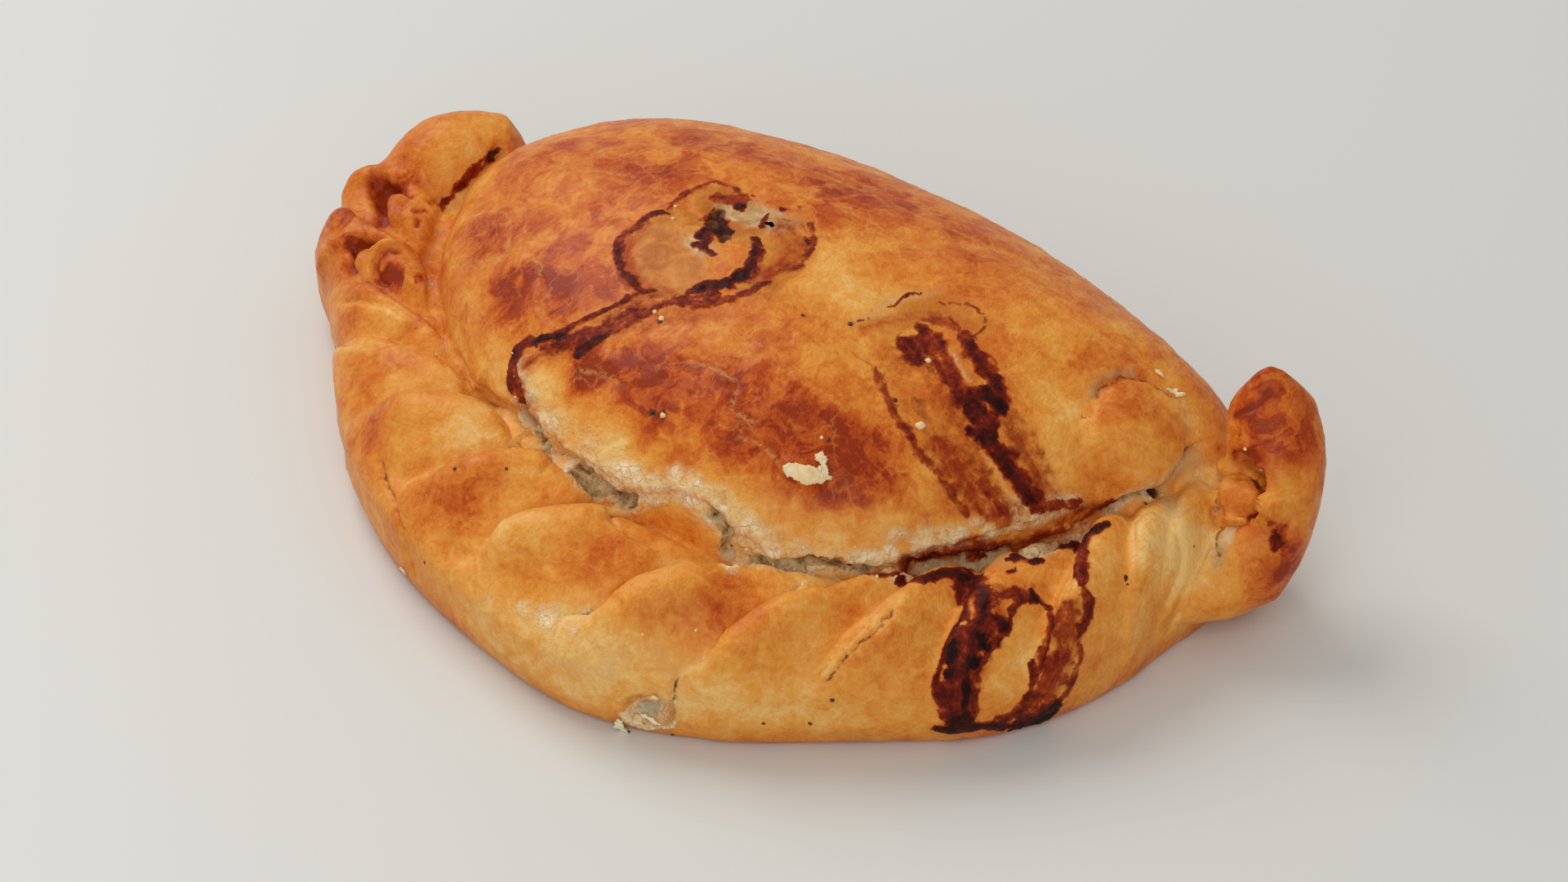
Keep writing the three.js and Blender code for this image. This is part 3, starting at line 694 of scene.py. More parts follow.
def spots_of(tree, where, size, detail=3.0, roughness=0.55, distortion=0.0):
    """Noise whose lumps are about that many mm across."""
    sockets = {"Vector": where, "Scale": 1 / (size * MM), "Detail": detail, "Roughness": roughness,
               "Distortion": distortion}
    return add(tree, "TexNoise", sockets).outputs["Fac"]


def carried(tree, where, size, detail, reach):
    """The place, carried off by soft noise as far as that many mm."""
    soft = {"Vector": where, "Scale": 1 / (size * MM), "Detail": detail}
    sockets = {0: add(tree, "TexNoise", soft).outputs["Color"], 1: (reach * MM,) * 3, 2: where}
    return add(tree, "VectorMath", sockets, operation="MULTIPLY_ADD").outputs[0]


def attribute(tree, name):
    return add(tree, "Attribute", attribute_name=name).outputs["Fac"]


def ramp(tree, value, stops):
    """The value as a colour. Each stop is a place and the red, green and blue there."""
    node = add(tree, "ValToRGB", {0: value})
    elements = node.color_ramp.elements
    while len(elements) < len(stops):
        elements.new(0.5)
    for element, (place, *shade) in zip(elements, stops):
        element.position = place
        element.color = colour(*shade)
    return node.outputs["Color"]


def new_material(name, **constants):
    material = bpy.data.materials.new(name)
    material.use_nodes = True
    tree = material.node_tree
    shader = tree.nodes["Principled BSDF"]
    for key, value in constants.items():
        shader.inputs[key.replace("_", " ")].default_value = value
    return material, tree, shader


def add_bump(tree, shader, height, distance, strength):
    sockets = {"Height": height, "Distance": distance * MM, "Strength": strength}
    tree.links.new(add(tree, "Bump", sockets).outputs[0], shader.inputs["Normal"])


def crumbly_dough():
    """A shader group: unglazed, flaky dough, with its colour and its height."""
    group = bpy.data.node_groups.new("Crumbly dough", "ShaderNodeTree")
    group.interface.new_socket("Place", in_out="INPUT", socket_type="NodeSocketVector")
    group.interface.new_socket("Dough Color", in_out="OUTPUT", socket_type="NodeSocketColor")
    group.interface.new_socket("Dough Height", in_out="OUTPUT", socket_type="NodeSocketFloat")
    given = group.nodes.new("NodeGroupInput").outputs["Place"]
    made = group.nodes.new("NodeGroupOutput")
    clots = spots_of(group, given, 3.0, 3, 0.6)
    crumbs = spots_of(group, given, 0.8, 3, 0.6)
    plates = {"Vector": carried(group, given, 1.6, 2.0, 2.2), "Scale": 1 / (2.6 * MM)}
    crack = add(group, "TexVoronoi", plates, feature="DISTANCE_TO_EDGE").outputs[0]
    crack = maths(group, "MULTIPLY", eased(group, crack, 0.07, 0.01), eased(group, clots, 0.46, 0.56))
    lumps = maths(group, "MULTIPLY_ADD", clots, 0.75, maths(group, "MULTIPLY", crumbs, 0.25))
    stops = [(0.36, 218, 156, 90), (0.44, 234, 190, 128), (0.54, 244, 214, 164), (0.64, 252, 234, 202)]
    cracked = maths(group, "MULTIPLY", crack, 0.35)
    shade = blend(group, cracked, ramp(group, lumps, stops), colour(150, 92, 42))
    group.links.new(shade, made.inputs["Dough Color"])
    group.links.new(maths(group, "MULTIPLY_ADD", crack, -0.25, lumps), made.inputs["Dough Height"])
    return group


# The colours of the skin. Each stop is a place on its scale, then red, green and blue.
BAKE_AND_SHADE_STOPS = [
    (0.0, 238, 194, 118), (0.2, 233, 164, 76), (0.35, 227, 147, 56), (0.5, 217, 125, 43),
    (0.65, 203, 102, 30), (0.8, 186, 76, 20), (1.0, 148, 48, 10),
]
BOILED_STOPS = [(0.36, 166, 90, 20), (0.5, 194, 114, 32), (0.62, 212, 142, 54)]
UNBAKED_STOPS = [(0.35, 158, 124, 78), (0.5, 188, 158, 110), (0.65, 216, 190, 144)]
GAP_STOPS = [(0.34, 132, 92, 52), (0.44, 186, 150, 100), (0.56, 222, 194, 146)]
GRAVY_STOPS = [
    (0.1, 204, 112, 36), (0.22, 188, 86, 24), (0.36, 160, 58, 16), (0.5, 118, 31, 12),
    (0.66, 84, 18, 8), (0.82, 54, 11, 6), (1.0, 30, 10, 6),
]
BURNT_AND_SHADE_STOPS = [(0.35, 126, 68, 28), (0.75, 40, 22, 14)]


def crust_material(dough):
    material, tree, shader = new_material(
        "Glazed shortcrust", IOR=1.45, Specular_IOR_Level=0.09, Coat_Roughness=0.26, Coat_IOR=1.4,
        Sheen_Weight=0.03, Sheen_Roughness=0.5, Sheen_Tint=colour(255, 226, 206),
    )
    where = add(tree, "TexCoord").outputs["Object"]
    broad = spots_of(tree, where, 14, 2)
    middle = spots_of(tree, where, 4.5, 4, 0.62, 0.8)
    fine = spots_of(tree, where, 1.1, 3, 0.6)
    dust = spots_of(tree, where, 0.35, 2, 0.6)

    # The glaze has crazed into plates that baked unevenly.
    drift = 7.0  # mm
    bent = carried(tree, where, 5, 3.0, drift)
    bent = add(tree, "VectorMath", {0: bent, 1: (-drift / 2 * MM,) * 3}, operation="ADD").outputs[0]
    plates = {"Vector": bent, "Scale": 1 / (9 * MM)}
    crack = add(tree, "TexVoronoi", plates, feature="DISTANCE_TO_EDGE").outputs[0]
    plate = add(tree, "TexVoronoi", plates, feature="F1").outputs["Color"]
    plate = add(tree, "SeparateColor", {0: plate}).outputs[0]
    craze = attribute(tree, "craze")
    edged = maths(tree, "MULTIPLY", eased(tree, crack, 0.0, 0.12), craze)

    # The bake, which also carries painted shade and painted light.
    browned_and_shaded = attribute(tree, "bake_and_shade")
    bake_and_shade = shifted(tree, browned_and_shaded, (broad, 0.42), (middle, 0.68), (fine, 0.4), (dust, 0.22))
    patchy = eased(tree, spots_of(tree, where, 7, 5, 0.62, 1.2), 0.46, 0.55)
    patched = maths(tree, "MULTIPLY", patchy, eased(tree, browned_and_shaded, 0.45, 0.75, 0.02, 0.22))
    bake_and_shade = maths(tree, "ADD", bake_and_shade, maths(tree, "SUBTRACT", patched, 0.05))
    bake_and_shade = maths(tree, "MULTIPLY_ADD", edged, maths(tree, "MULTIPLY_ADD", plate, 0.26, -0.11), bake_and_shade)
    pastry = ramp(tree, bake_and_shade, BAKE_AND_SHADE_STOPS)
    line = maths(tree, "MULTIPLY", eased(tree, crack, 0.03, 0.005), eased(tree, broad, 0.42, 0.6))
    line = maths(tree, "MULTIPLY", line, maths(tree, "MULTIPLY", craze, 0.45))
    broken = maths(tree, "MULTIPLY", attribute(tree, "edge"), eased(tree, fine, 0.42, 0.54))
    line = maths(tree, "MAXIMUM", line, broken)
    pastry = blend(tree, maths(tree, "MULTIPLY", line, 0.4), pastry, colour(240, 180, 96))

    # Dough that boiled up, dough that the glaze missed, dough that never browned, and the open seam.
    boiled = eased(tree, shifted(tree, attribute(tree, "tan"), (middle, 0.6)), 0.25, 0.7, 0.0, 0.75)
    pastry = blend(tree, boiled, pastry, ramp(tree, middle, BOILED_STOPS))
    crumb = add(tree, "Group", {"Place": where}, node_tree=dough).outputs
    dry = eased(tree, shifted(tree, attribute(tree, "dry"), (middle, 0.7), (fine, 0.3)), 0.25, 0.75)
    pastry = blend(tree, dry, pastry, crumb["Dough Color"])
    wet = shifted(tree, attribute(tree, "grey"), (middle, 0.9), (fine, 0.3))
    wet = eased(tree, wet, 0.2, 0.8, 0.0, 0.75)
    pastry = blend(tree, wet, pastry, ramp(tree, shifted(tree, middle, (fine, 0.3)), UNBAKED_STOPS))
    gap = eased(tree, shifted(tree, attribute(tree, "gap"), (fine, 0.4)), 0.3, 0.7)
    pastry = blend(tree, gap, pastry, ramp(tree, shifted(tree, middle, (fine, 0.4)), GAP_STOPS))

    # Gravy, streaked along its lines, what has burnt black, and the painted shade in the cracks.
    gravy = attribute(tree, "gravy")
    flow = {0: maths(tree, "MULTIPLY", attribute(tree, "along"), 0.16), 1: attribute(tree, "across")}
    flow = add(tree, "CombineXYZ", flow).outputs[0]
    streaks = add(tree, "TexNoise", {"Vector": flow, "Scale": 0.5, "Detail": 3.0}).outputs["Fac"]
    blobs = spots_of(tree, where, 2, 2)
    lumps = shifted(tree, 0.0, (streaks, 0.8), (middle, 0.5), (blobs, 0.7), (fine, 0.3))
    thick = maths(tree, "MULTIPLY_ADD", lumps, eased(tree, gravy, 0.05, 0.6), gravy)
    soaked = eased(tree, thick, 0.1, 0.36)
    pastry = blend(tree, soaked, pastry, ramp(tree, thick, GRAVY_STOPS))
    char_and_shade = shifted(tree, attribute(tree, "char_and_shade"), (fine, 0.5))
    pastry = blend(tree, eased(tree, char_and_shade, 0.18, 0.42), pastry, ramp(tree, char_and_shade, BURNT_AND_SHADE_STOPS))
    tree.links.new(pastry, shader.inputs["Base Color"])

    matt = maths(tree, "MAXIMUM", dry, gap)
    surface = maths(tree, "MULTIPLY_ADD", middle, 0.2, 0.36)
    surface = add(tree, "Mix", {0: matt, 2: surface, 3: 0.8}).outputs[0]
    surface = add(tree, "Mix", {0: soaked, 2: surface, 3: 0.5}).outputs[0]
    tree.links.new(surface, shader.inputs["Roughness"])
    glaze = maths(tree, "MULTIPLY", maths(tree, "SUBTRACT", 1.0, matt), 0.22)
    glaze = maths(tree, "MULTIPLY", glaze, maths(tree, "MULTIPLY_ADD", soaked, -0.8, 1.0))
    tree.links.new(glaze, shader.inputs["Coat Weight"])

    height = maths(tree, "MULTIPLY", middle, 0.75)
    height = maths(tree, "MULTIPLY_ADD", fine, maths(tree, "MULTIPLY_ADD", matt, 0.25, 0.55), height)
    height = maths(tree, "MULTIPLY_ADD", dust, maths(tree, "MULTIPLY_ADD", matt, 0.15, 0.05), height)
    height = maths(tree, "MULTIPLY_ADD", crumb["Dough Height"], matt, height)
    height = maths(tree, "MULTIPLY_ADD", lumps, maths(tree, "MULTIPLY", soaked, 0.6), height)
    height = maths(tree, "MULTIPLY_ADD", line, -0.25, height)
    add_bump(tree, shader, height, 0.7, 0.75)
    return material


# --- the crust ------------------------------------------------------------------------------------

def ends_fade(share, start, end):
    """One along a line, fading out at its start and its end over those shares."""
    return smoothstep(0, max(start, 1e-6), share) * smoothstep(1, 1 - max(end, 1e-6), share)


def raise_dough(skin):
    """The slow swellings and small lumps of the baked dough."""
    skin.lift += 0.4 * rough(skin.places, 14, 2, 3) * skin.on_lid
    skin.lift += 0.14 * rough(skin.places, 4.5, 3, 4)
    skin.lift += (0.05 + 0.05 * skin.on_lid) * rough(skin.places, 1.8, 3, 5)


def press(skin, lines, ways, fade, dry=0.0, dark=0.0):
    """Grooves along the lines, or ridges where the depth is minus. Dark paints shade down the floor of a
    groove.
    """
    for width, depth, points in lines:
        away, _, share = skin.measure(points, ways, width * 4)
        ends = ends_fade(share, fade, fade)
        strength = bell(away, width) * ends
        skin.lift -= depth * strength
        if depth > 0:
            skin.add("dry", dry * strength)
            # Painted shade: a dark line down the floor of the groove.
            skin.add("char_and_shade", dark * bell(away, 0.4) * ends)


def lap(skin, lines, reach, sharpness, fades, pale, dark):
    """Folds that lap over what lies on the left of their way, standing proud as far as the reach, in mm. A
    plus dark paints shade at the foot of the step on the left, and a minus one paints paler dough there.
    """
    for width, depth, points in lines:
        away, side, share = skin.measure(points, skin.bent, 18)
        fade = ends_fade(share, *fades) * (away < FAR)
        right = np.clip(side, 0, None)
        left = np.clip(-side, 0, None)
        over = np.tanh(right / sharpness) * np.exp(-((right / reach) ** 2))
        under = -0.5 * np.exp(-left / 2.2)
        skin.lift += depth * np.where(side > 0, over, under) * fade
        skin.lift -= 0.5 * depth * bell(away, width * 0.6) * fade
        skin.paint["bake_and_shade"] -= pale * bell(side - 0.6, 1.2) * fade
        # Painted shade where dark is plus: the foot of the step, under the fold that laps over it, is
        # coloured browner.
        skin.paint["bake_and_shade"] += dark * bell(side + 0.6, 0.8) * fade


def shape_ends(skin):
    """The curled end of the rope and the ear at the other end, with painted shade in the hollows and at the
    foot of the steps.
    """
    lap(skin, CURLS, reach=3.0, sharpness=0.6, fades=(0.12, 0.12), pale=0.05, dark=0.25)
    press(skin, RIMS, skin.bent, fade=0.15)
    for width, depth, points in HOLLOWS:
        away, _, share = skin.measure(points, skin.bent, width * 3)
        strength = bell(away, width) * ends_fade(share, 0.15, 0.15)
        skin.lift -= depth * strength
        # Painted shade: each hollow is coloured browner, as it would look in shade.
        skin.paint["bake_and_shade"] += 0.45 * strength


def tear_seam(skin):
    """The seam between lid and rope: its crumbly lip and where it gapes."""
    away, _, _ = skin.measure(SEAM, skin.bent, 12)
    skin.lift -= 0.7 * bell(away, 1.0)
    skin.add("dry", 0.35 * bell(away, 1.8))
    ragged = rough(skin.places, 1.8, 3, 11)
    away, side, share = skin.measure(LIP, skin.torn, 20)
    near = away < FAR
    fade = ends_fade(share, 0.04, 0.1) * near
    lid = np.clip(-side, 0, None)
    rope = np.clip(side, 0, None)
    cliff = np.tanh(lid / 0.6) * np.exp(-lid / 3.2)
    skin.lift += np.where(side < 0, 1.1 * cliff, 0) * fade
    crumble = np.where(side < 0, bell(lid, 5.5), bell(rope, 2.2)) * fade
    skin.lift += 0.22 * ragged * crumble
    skin.add("dry", crumble * (0.76 + 0.6 * rough(skin.places, 5, 2, 12)))
    skin.paint["bake_and_shade"] -= 0.12 * bell(away, 8) * fade
    for width, depth, points in GAPS:
        away, _, share = skin.measure(points, skin.torn, width * 3)
        hole = smoothstep(width * 1.25, width * 0.65, away) * ends_fade(share, 0.12, 0.12)
        skin.lift -= 0.8 * depth * hole * (1 + 0.4 * ragged)
        skin.add("gap", smoothstep(width * 1.35, width * 0.9, away) * ends_fade(share, 0.08, 0.08))
        skin.add("dry", 0.7 * bell(away, width + 1.6))


def tear_rope(skin):
    """The tear low on the rope, where the onion shows."""
    x, y, z = skin.torn.T
    inside = inside_outline(x, z, TEAR) & (y < TEAR_BACK)
    edge = np.full(skin.count, FAR)
    for (ax, az), (bx, bz) in zip(TEAR, TEAR[1:] + TEAR[:1]):
        along = ((x - ax) * (bx - ax) + (z - az) * (bz - az)) / ((bx - ax) ** 2 + (bz - az) ** 2)
        along = np.clip(along, 0, 1)
        edge = np.minimum(edge, np.hypot(x - ax - along * (bx - ax), z - az - along * (bz - az)))
    edge = np.where(y < TEAR_BACK, edge, FAR)
    skin.lift -= np.where(inside, TEAR_DEPTH * smoothstep(0, 0.7, edge), 0)
    skin.add("dry", np.where(inside, 1.0, 0.9 * bell(edge, 1.0)))
    skin.add("grey", np.where(inside, 0.35, 0))


def spill_gravy(skin):
    """Gravy, thickest along the middle of each line, and how far along and across it each place lies."""
    swell = 1 + 0.6 * rough(skin.places, 2.5, 3, 21)
    thickest = np.zeros(skin.count)
    for number, (width, thick, points) in enumerate(WASHES + GRAVY + CLOTS):
        away, side, share = skin.measure(points, skin.runny, width * 3)
        if number < len(WASHES):
            cover = bell(away, width)
        else:
            reach = width * (0.55 + 0.45 * ends_fade(share, 0.1, 0.1)) * swell
            cover = smoothstep(1.5, 0.6, away / np.maximum(reach, 0.2))
        amount = thick * cover * (away < FAR)
        new = amount > thickest
        thickest[new] = amount[new]
        if number < len(WASHES) + len(GRAVY):
            length = math.dist(points[0], points[-1]) / PIXELS_PER_MM
            skin.paint["along"][new] = share[new] * length + 40 * number
            skin.paint["across"][new] = side[new]
    for width, rise, points in RIDGES:
        away, _, share = skin.measure(points, skin.runny, width * 4)
        strength = bell(away, width) * ends_fade(share, 0.15, 0.15)
        thickest *= 1 - 0.8 * strength
        skin.lift += rise * strength
        skin.add("dry", 0.4 * strength)
    skin.paint["gravy"] = thickest
    for width, depth, points in TAN:
        away, _, _ = skin.measure(points, skin.runny, width * 2)
        skin.add("tan", depth * smoothstep(width * 1.2, width * 0.6, away))
    for width, depth, points in GREY:
        away, _, _ = skin.measure(points, skin.torn, width * 2)
        skin.add("grey", depth * smoothstep(width * 1.6, 0, away))
    skin.lift += 0.15 * smoothstep(0.2, 0.5, thickest)
    skin.lift += 0.3 * rough(skin.places, 1.4, 3, 14) * smoothstep(0.5, 0.8, thickest)
    for spot, radius, depth, black in PITS:
        away = skin.off(skin.torn, spot)
        skin.lift -= depth * bell(away, radius * 0.8)
        skin.add("char_and_shade", black * smoothstep(radius * 1.3, radius * 0.5, away))


def swell_lid(skin):
    """The disc where the filling pushes the lid up."""
    away = skin.off(skin.bent, SWELLING)
    skin.lift += SWELLING_RISE * smoothstep(SWELLING_REACH, SWELLING_REACH - 3.5, away) * skin.on_lid


def brown(skin):
    """The bake with its painted light and shade, the places that the glaze missed, and the fine cracks of the
    glaze.
    """
    bake_and_shade = 0.42 + 0.1 * smoothstep(14, 26, skin.places[:, 2]) + 0.03 * np.clip(skin.proud, -2.5, 2.5)
    for spot, reach, more in BAKE_AND_LIGHT_PATCHES:
        bake_and_shade += more * bell(skin.off(skin.bent, spot), reach)
    for width, more, points in BROWNED:
        away, _, _ = skin.measure(points, skin.bent, width * 3)
        bake_and_shade += more * bell(away, width)
    for spot, reach, dry in DRY_PATCHES:
        skin.add("dry", dry * bell(skin.off(skin.torn, spot), reach))
    # Darker towards the foot, over its lowest 8 mm.
    bake_and_shade += 0.15 * smoothstep(8, 1, skin.places[:, 2])
    skin.paint["bake_and_shade"] += bake_and_shade
    skin.paint["craze"] = skin.on_lid * smoothstep(16, 24, skin.places[:, 2])
    for width, depth, points in GLAZE_CRACKS:
        away, _, share = skin.measure(points, skin.bent, 4)
        skin.add("edge", smoothstep(width * 1.8, width * 0.3, away) * ends_fade(share, 0.1, 0.1))
        skin.lift -= 0.4 * depth * bell(away, 0.5)


def crust_piece(dough):
    """The CAD crust with its facets taken off, and the fine relief of the bake pressed into it."""
    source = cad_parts["crust"].data.copy()
    bm = bmesh.new()
    bm.from_mesh(source)
    bmesh.ops.remove_doubles(bm, verts=bm.verts, dist=0.01 * MM)
    bm.to_mesh(source)
    bm.free()
    mesh = with_modifiers(
        source,
        ("REMESH", {"mode": "VOXEL", "voxel_size": SKIN_CELL * MM}),
        ("SMOOTH", {"factor": 0.5, "iterations": SKIN_SOFTENING}),
    )
    skin = Skin(mesh)
    raise_dough(skin)
    swell_lid(skin)
    press(skin, CRESTS, skin.places, fade=0.35)
    press(skin, VALLEYS, skin.places, fade=0.3)
    lap(skin, FOLDS, reach=7.0, sharpness=0.9, fades=(0.35, 0.06), pale=0.15, dark=-0.1)
    shape_ends(skin)
    press(skin, CRACKS, skin.torn, fade=0.15, dry=0.35, dark=0.36)
    tear_seam(skin)
    tear_rope(skin)
    spill_gravy(skin)
    brown(skin)

    moved = skin.places + skin.normals * skin.lift[:, None]
    moved[:, 2] = np.clip(moved[:, 2], 0, cad_box[1][2] / MM - CLEARANCE)
    mesh.vertices.foreach_set("co", (moved * MM).astype(np.float32).ravel())
    for name, values in skin.paint.items():
        mesh.attributes.new(name, "FLOAT", "POINT").data.foreach_set("value", values.astype(np.float32))
    mesh.update()
    triangles = sum(len(p.vertices) - 2 for p in mesh.polygons)
    mesh = with_modifiers(mesh, ("DECIMATE", {"ratio": min(1.0, SKIN_TRIANGLES / triangles)}))
    mesh.name = "baked_crust"
    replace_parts(new_piece("baked_crust", mesh, crust_material(dough)), "crust")
    return tree_of(read_mesh(mesh)[0], mesh)


# --- what lies on the crust -----------------------------------------------------------------------

def flat_axes(normal, along):
    """Two directions in the plane across the normal, the first as near as can be to the one given."""
    across = (Vector(along) - normal * normal.dot(Vector(along))).normalized()
    return across, normal.cross(across)


def broad_normal(tree, centre, reach=2.0):
    """Which way the skin faces about a place, as a mean over those mm round it."""
    steps = [Vector(axis) * way for axis in np.eye(3) for way in (reach, -reach)]
    return sum((tree.find_nearest(centre + step)[1] for step in steps), Vector()).normalized()


def add_sheet(bm, tree, spot, outline, thickness, lift, curl, seed, cell=0.28, taut=False):
    """A thin torn sheet that follows the skin, or is pulled taut over it. Its outline is in mm."""
    centre = seen(tree, spot)
    normal = broad_normal(tree, centre)
    first, second = flat_axes(normal, SHEET_WAY)
    us = [u for u, _ in outline]
    vs = [v for _, v in outline]
    columns = np.arange(min(us), max(us) + cell, cell)
    rows = np.arange(min(vs), max(vs) + cell, cell)
    grid_u, grid_v = (grid.ravel() for grid in np.meshgrid(columns, rows, indexing="ij"))
    ragged = [noise.noise_vector(Vector((u * 1.3, v * 1.3, seed))) for u, v in zip(grid_u, grid_v)]
    ragged = np.array(ragged) * 0.35
    inside = inside_outline(grid_u + ragged[:, 0], grid_v + ragged[:, 1], outline)
    made = {}
    for place in np.flatnonzero(inside).tolist():
        u, v = float(grid_u[place]), float(grid_v[place])
        target = centre + first * u + second * v
        on_skin, up = (target, normal) if taut else tree.find_nearest(target)[:2]
        rise = lift + curl * (u * u + v * v) + 0.25 * float(ragged[place, 2])
        made[place] = bm.verts.new(on_skin + up * rise)
    faces = []
    wide = len(rows)
    for place in made:
        corners = (place, place + wide, place + wide + 1, place + 1)
        if (place + 1) % wide and all(c in made for c in corners):
            faces.append(bm.faces.new([made[c] for c in corners]))
    loose = [v for v in made.values() if not v.link_faces]
    bmesh.ops.delete(bm, geom=loose, context="VERTS")
    grown = bmesh.ops.extrude_face_region(bm, geom=faces)["geom"]
    top = [part for part in grown if isinstance(part, bmesh.types.BMVert)]
    bmesh.ops.translate(bm, vec=normal * thickness, verts=top)


def add_crumb(bm, tree, spot, size, rng, flat):
    """A small broken lump sitting on the skin."""
    centre, normal, _, _ = tree.find_nearest(seen(tree, spot))
    lump = bmesh.ops.create_icosphere(bm, subdivisions=2, radius=1.0)["verts"]
    first, second = flat_axes(normal, (rng.uniform(-1, 1), rng.uniform(-1, 1), 0.3))
    wide = size * rng.uniform(0.8, 1.3)
    seed = rng.uniform(0, 99)
    for vert in lump:
        x, y, z = vert.co * (1 + 0.45 * noise.noise(vert.co * 1.6 + Vector((seed, 0, 0))))
        vert.co = centre + first * x * wide + second * y * size + normal * size * flat * (z + 0.35)


def flake_material(dough):
    material, tree, shader = new_material("Broken flakes", Roughness=0.8)
    where = add(tree, "TexCoord").outputs["Object"]
    crumb = add(tree, "Group", {"Place": where}, node_tree=dough).outputs
    pale = blend(tree, 0.5, crumb["Dough Color"], colour(244, 220, 172))
    tree.links.new(pale, shader.inputs["Base Color"])
    add_bump(tree, shader, crumb["Dough Height"], 0.4, 0.6)
    return material


def burnt_material():
    material, tree, shader = new_material("Burnt gravy", Roughness=0.45)
    where = add(tree, "TexCoord").outputs["Object"]
    shade = ramp(tree, spots_of(tree, where, 0.6), [(0.35, 34, 20, 16), (0.65, 84, 36, 24)])
    tree.links.new(shade, shader.inputs["Base Color"])
    return material


def onion_material(name, stops):
    material, tree, shader = new_material(
        name, Roughness=0.35, IOR=1.4, Subsurface_Weight=0.2, Subsurface_Scale=1.5 * MM,
    )
    where = add(tree, "TexCoord").outputs["Object"]
    stretched = add(tree, "Mapping", {"Vector": where, "Scale": (0.35, 1, 1)}).outputs[0]
    veins = spots_of(tree, stretched, 0.8, 3, 0.6)
    tree.links.new(ramp(tree, veins, stops), shader.inputs["Base Color"])
    add_bump(tree, shader, veins, 0.3, 0.5)
    return material


# Each sheet is a spot and an outline in mm, along this way over the skin and across it.
SHEET_WAY = (1, 0.1, 0)
FLAKE_LOBES = [
    ((986, 582), [
        (-4.6, 0.2), (-3.4, 1.4), (-1, 1.9), (1.6, 1.9), (4, 1.6), (5, 0.8), (3.6, -0.4), (2.6, -0.8),
        (0.6, -1.8), (-1.2, -1.5), (-2, -1.2), (-3.4, -1.2),
    ]),
    ((1005, 572), [
        (-2, 1.8), (-0.6, 2.6), (0.6, 1.6), (0.8, 0.4), (1.9, -0.6), (1.6, -2), (0.2, -2.6), (-0.8, -1.6),
        (-0.4, -0.2), (-1.6, 0.6),
    ]),
]
SMALL_FLAKES = [
    ((941, 275), [(-1.4, 0), (0, 1), (1.6, 0.4), (1, -0.8)]),
    ((1436, 481), [(-2.6, 0.2), (0, 0.7), (2.4, 0.3), (1.6, -0.5), (-1.2, -0.5)]),
    ((1418, 459), [(-1.6, 0.2), (0, 0.7), (1.4, 0.1), (0, -0.5)]),
    ((802, 852), [(-1, -0.2), (0, 1), (0.9, 0.4), (0.6, -0.8)]),
    ((455, 710), [(-1.2, 0), (0, 0.6), (1.4, 0), (0.4, -0.6)]),
]
ONION_WINDOW = ((793, 868), [
    (-4.2, 0.6), (-1.4, 1.1), (0.6, 2), (4.2, 2.7), (4.1, 0), (3.6, -3.1), (1.3, -2.1), (-2.2, -1.5),
    (-4, -1.6),
])
ONION_STRIP = ((797, 879), [(-2.8, 1), (0, 0.5), (3, -0.4), (2.8, -1.3), (0, -0.6), (-1.8, 0.1)])
ONION_FLAP = ((763, 883), [
    (-0.9, 1.2), (0, 0.8), (0.5, -1.8), (1.3, -4), (0.3, -3.9), (-1.2, -2.7), (-2.1, -1.3),
])

# The onion's colours: partly its own, and partly made paler as painted light, since the tear lies in the
# lamps' shade.
ONION_GREYS = [(0.35, 176, 158, 126), (0.5, 198, 182, 150), (0.65, 214, 200, 172)]
ONION_PALES = [(0.35, 240, 218, 170), (0.5, 250, 234, 194), (0.65, 252, 242, 216)]

# Crumbs: a spot and a size in mm. The lip sheds more of them, from its start to this one of its spots.
WHITE_CRUMBS = [
    ((1127, 522), 0.75), ((1137, 442), 0.6), ((852, 772), 0.3), ((787, 777), 0.3),
    ((810, 390), 0.5), ((802, 382), 0.35), ((1006, 536), 0.35), ((812, 509), 0.5),
    ((824, 268), 0.4), ((827, 253), 0.35), ((1545, 575), 0.35), ((1525, 550), 0.3),
]
LAST_SHEDDING = 22
CRUMB_FLATNESS = 0.7

# Specks: a spot, a size in mm and how flat it is.
BURNT_SPECKS = [
    ((1014, 539), 0.4, 0.4), ((557, 574), 0.35, 0.5), ((620, 574), 0.3, 0.4), ((1096, 490), 0.45, 0.5),
    ((1462, 669), 0.22, 0.3), ((808, 394), 0.4, 0.3), ((983, 386), 0.35, 0.3), ((1041, 397), 0.5, 0.4),
    ((822, 903), 0.4, 0.3), ((1019, 857), 0.45, 0.3), ((992, 886), 0.4, 0.3), ((935, 886), 0.3, 0.3),
    ((520, 689), 0.3, 0.3),
]


def loose_pieces(skin_tree, dough):
    """The flakes, the white crumbs and the black specks that lie on the crust."""
    rng = random.Random(7)
    bm = bmesh.new()
    for spot, outline in FLAKE_LOBES:
        add_sheet(bm, skin_tree, spot, outline, thickness=0.45, lift=0.55, curl=0.01, seed=3)
    for spot, outline in SMALL_FLAKES:
        add_sheet(bm, skin_tree, spot, outline, thickness=0.3, lift=0.35, curl=0.05, seed=5)
    piece_of(bm, "loose_flakes", flake_material(dough))

    bm = bmesh.new()
    for spot, size in WHITE_CRUMBS:
        add_crumb(bm, skin_tree, spot, size, rng, CRUMB_FLATNESS)
    for start, end in zip(LIP[:LAST_SHEDDING], LIP[1:]):
        spot = Vector(start).lerp(Vector(end), rng.random()) + Vector((rng.gauss(0, 8), rng.gauss(-3, 9)))
        add_crumb(bm, skin_tree, spot, rng.uniform(0.12, 0.32), rng, CRUMB_FLATNESS)
    piece_of(bm, "pastry_crumbs", flake_material(dough))

    bm = bmesh.new()
    for spot, size, flat in BURNT_SPECKS:
        add_crumb(bm, skin_tree, spot, size, rng, flat)
    piece_of(bm, "burnt_specks", burnt_material())


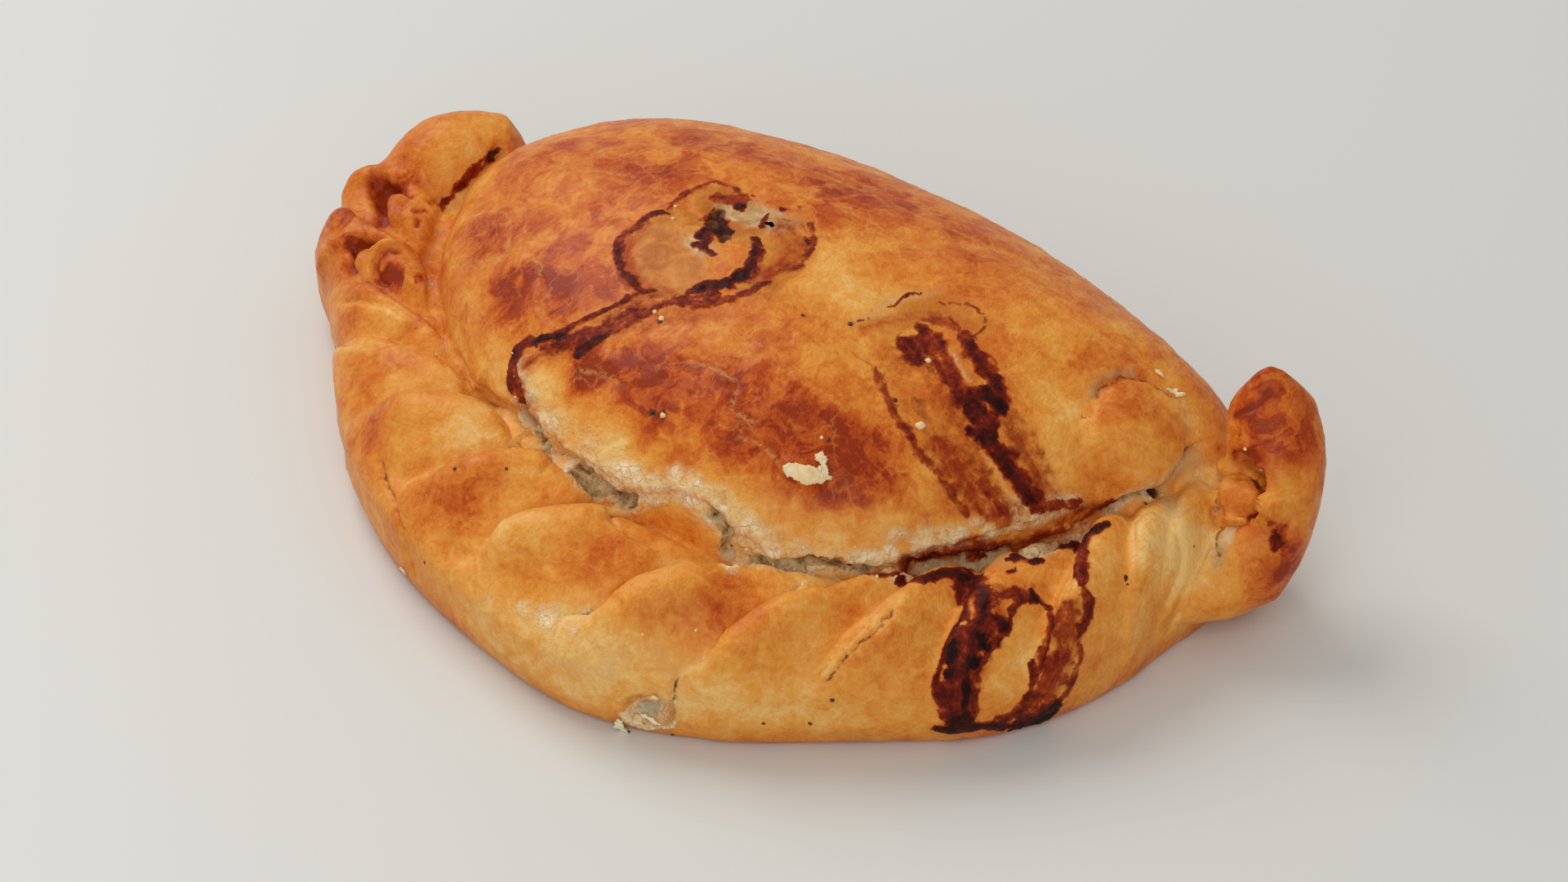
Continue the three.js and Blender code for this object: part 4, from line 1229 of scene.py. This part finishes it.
def onion_piece(skin_tree):
    """The slip of onion that shows in the tear, with a pale strip below it and a flap hanging out."""
    bm = bmesh.new()
    spot, outline = ONION_WINDOW
    add_sheet(
        bm, skin_tree, spot, outline, thickness=0.3, lift=0.5, curl=-0.01, seed=11, cell=0.25, taut=True,
    )
    grey = onion_material("Cooked onion", ONION_GREYS)
    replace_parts(piece_of(bm, "onion_slip", grey), "filling_piece")

    bm = bmesh.new()
    spot, outline = ONION_STRIP
    add_sheet(
        bm, skin_tree, spot, outline, thickness=0.4, lift=0.9, curl=-0.01, seed=13, cell=0.2, taut=True,
    )
    spot, outline = ONION_FLAP
    add_sheet(bm, skin_tree, spot, outline, thickness=0.35, lift=0.3, curl=0.07, seed=17, cell=0.2)
    piece_of(bm, "onion_shreds", onion_material("Pale onion", ONION_PALES))


# --- camera, light and floor ----------------------------------------------------------------------

def camera():
    data = bpy.data.cameras.new("camera")
    data.lens = CAMERA_LENS
    eye = bpy.data.objects.new("camera", data)
    bpy.context.scene.collection.objects.link(eye)
    eye.location = Vector(CAMERA_PLACE) * MM
    eye.rotation_euler = camera_turn().to_euler()
    bpy.context.scene.camera = eye


def area_light(name, place, size, power, tint):
    """A round light that faces the pasty."""
    data = bpy.data.lights.new(name, "AREA")
    data.shape = "DISK"
    data.size = size
    data.energy = power
    data.color = tint
    lamp = bpy.data.objects.new(name, data)
    bpy.context.scene.collection.objects.link(lamp)
    lamp.location = place
    lamp.rotation_euler = (-Vector(place)).to_track_quat("-Z", "Y").to_euler()


def studio():
    bm = bmesh.new()
    bmesh.ops.create_grid(bm, x_segments=1, y_segments=1, size=3.0)
    mesh = bpy.data.meshes.new("floor")
    bm.to_mesh(mesh)
    bm.free()
    floor = bpy.data.objects.new("floor", mesh)
    bpy.context.scene.collection.objects.link(floor)
    material, _, _ = new_material("Pale floor", Base_Color=colour(218, 218, 214), Roughness=0.45)
    mesh.materials.append(material)

    bpy.context.scene.view_settings.view_transform = "Standard"
    world = bpy.data.worlds.new("studio")
    world.use_nodes = True
    sky = world.node_tree.nodes["Background"].inputs
    sky["Color"].default_value = (1.0, 0.985, 0.965, 1)
    sky["Strength"].default_value = 0.45
    bpy.context.scene.world = world
    area_light("window", (-0.9, 0.3, 1.0), size=1.0, power=9.4, tint=(1.0, 0.985, 0.96))
    area_light("room", (0.4, -1.0, 0.9), size=1.2, power=5.6, tint=(1.0, 0.98, 0.95))


camera()
studio()
crumbly = crumbly_dough()
skin_now = crust_piece(crumbly)
loose_pieces(skin_now, crumbly)
onion_piece(skin_now)
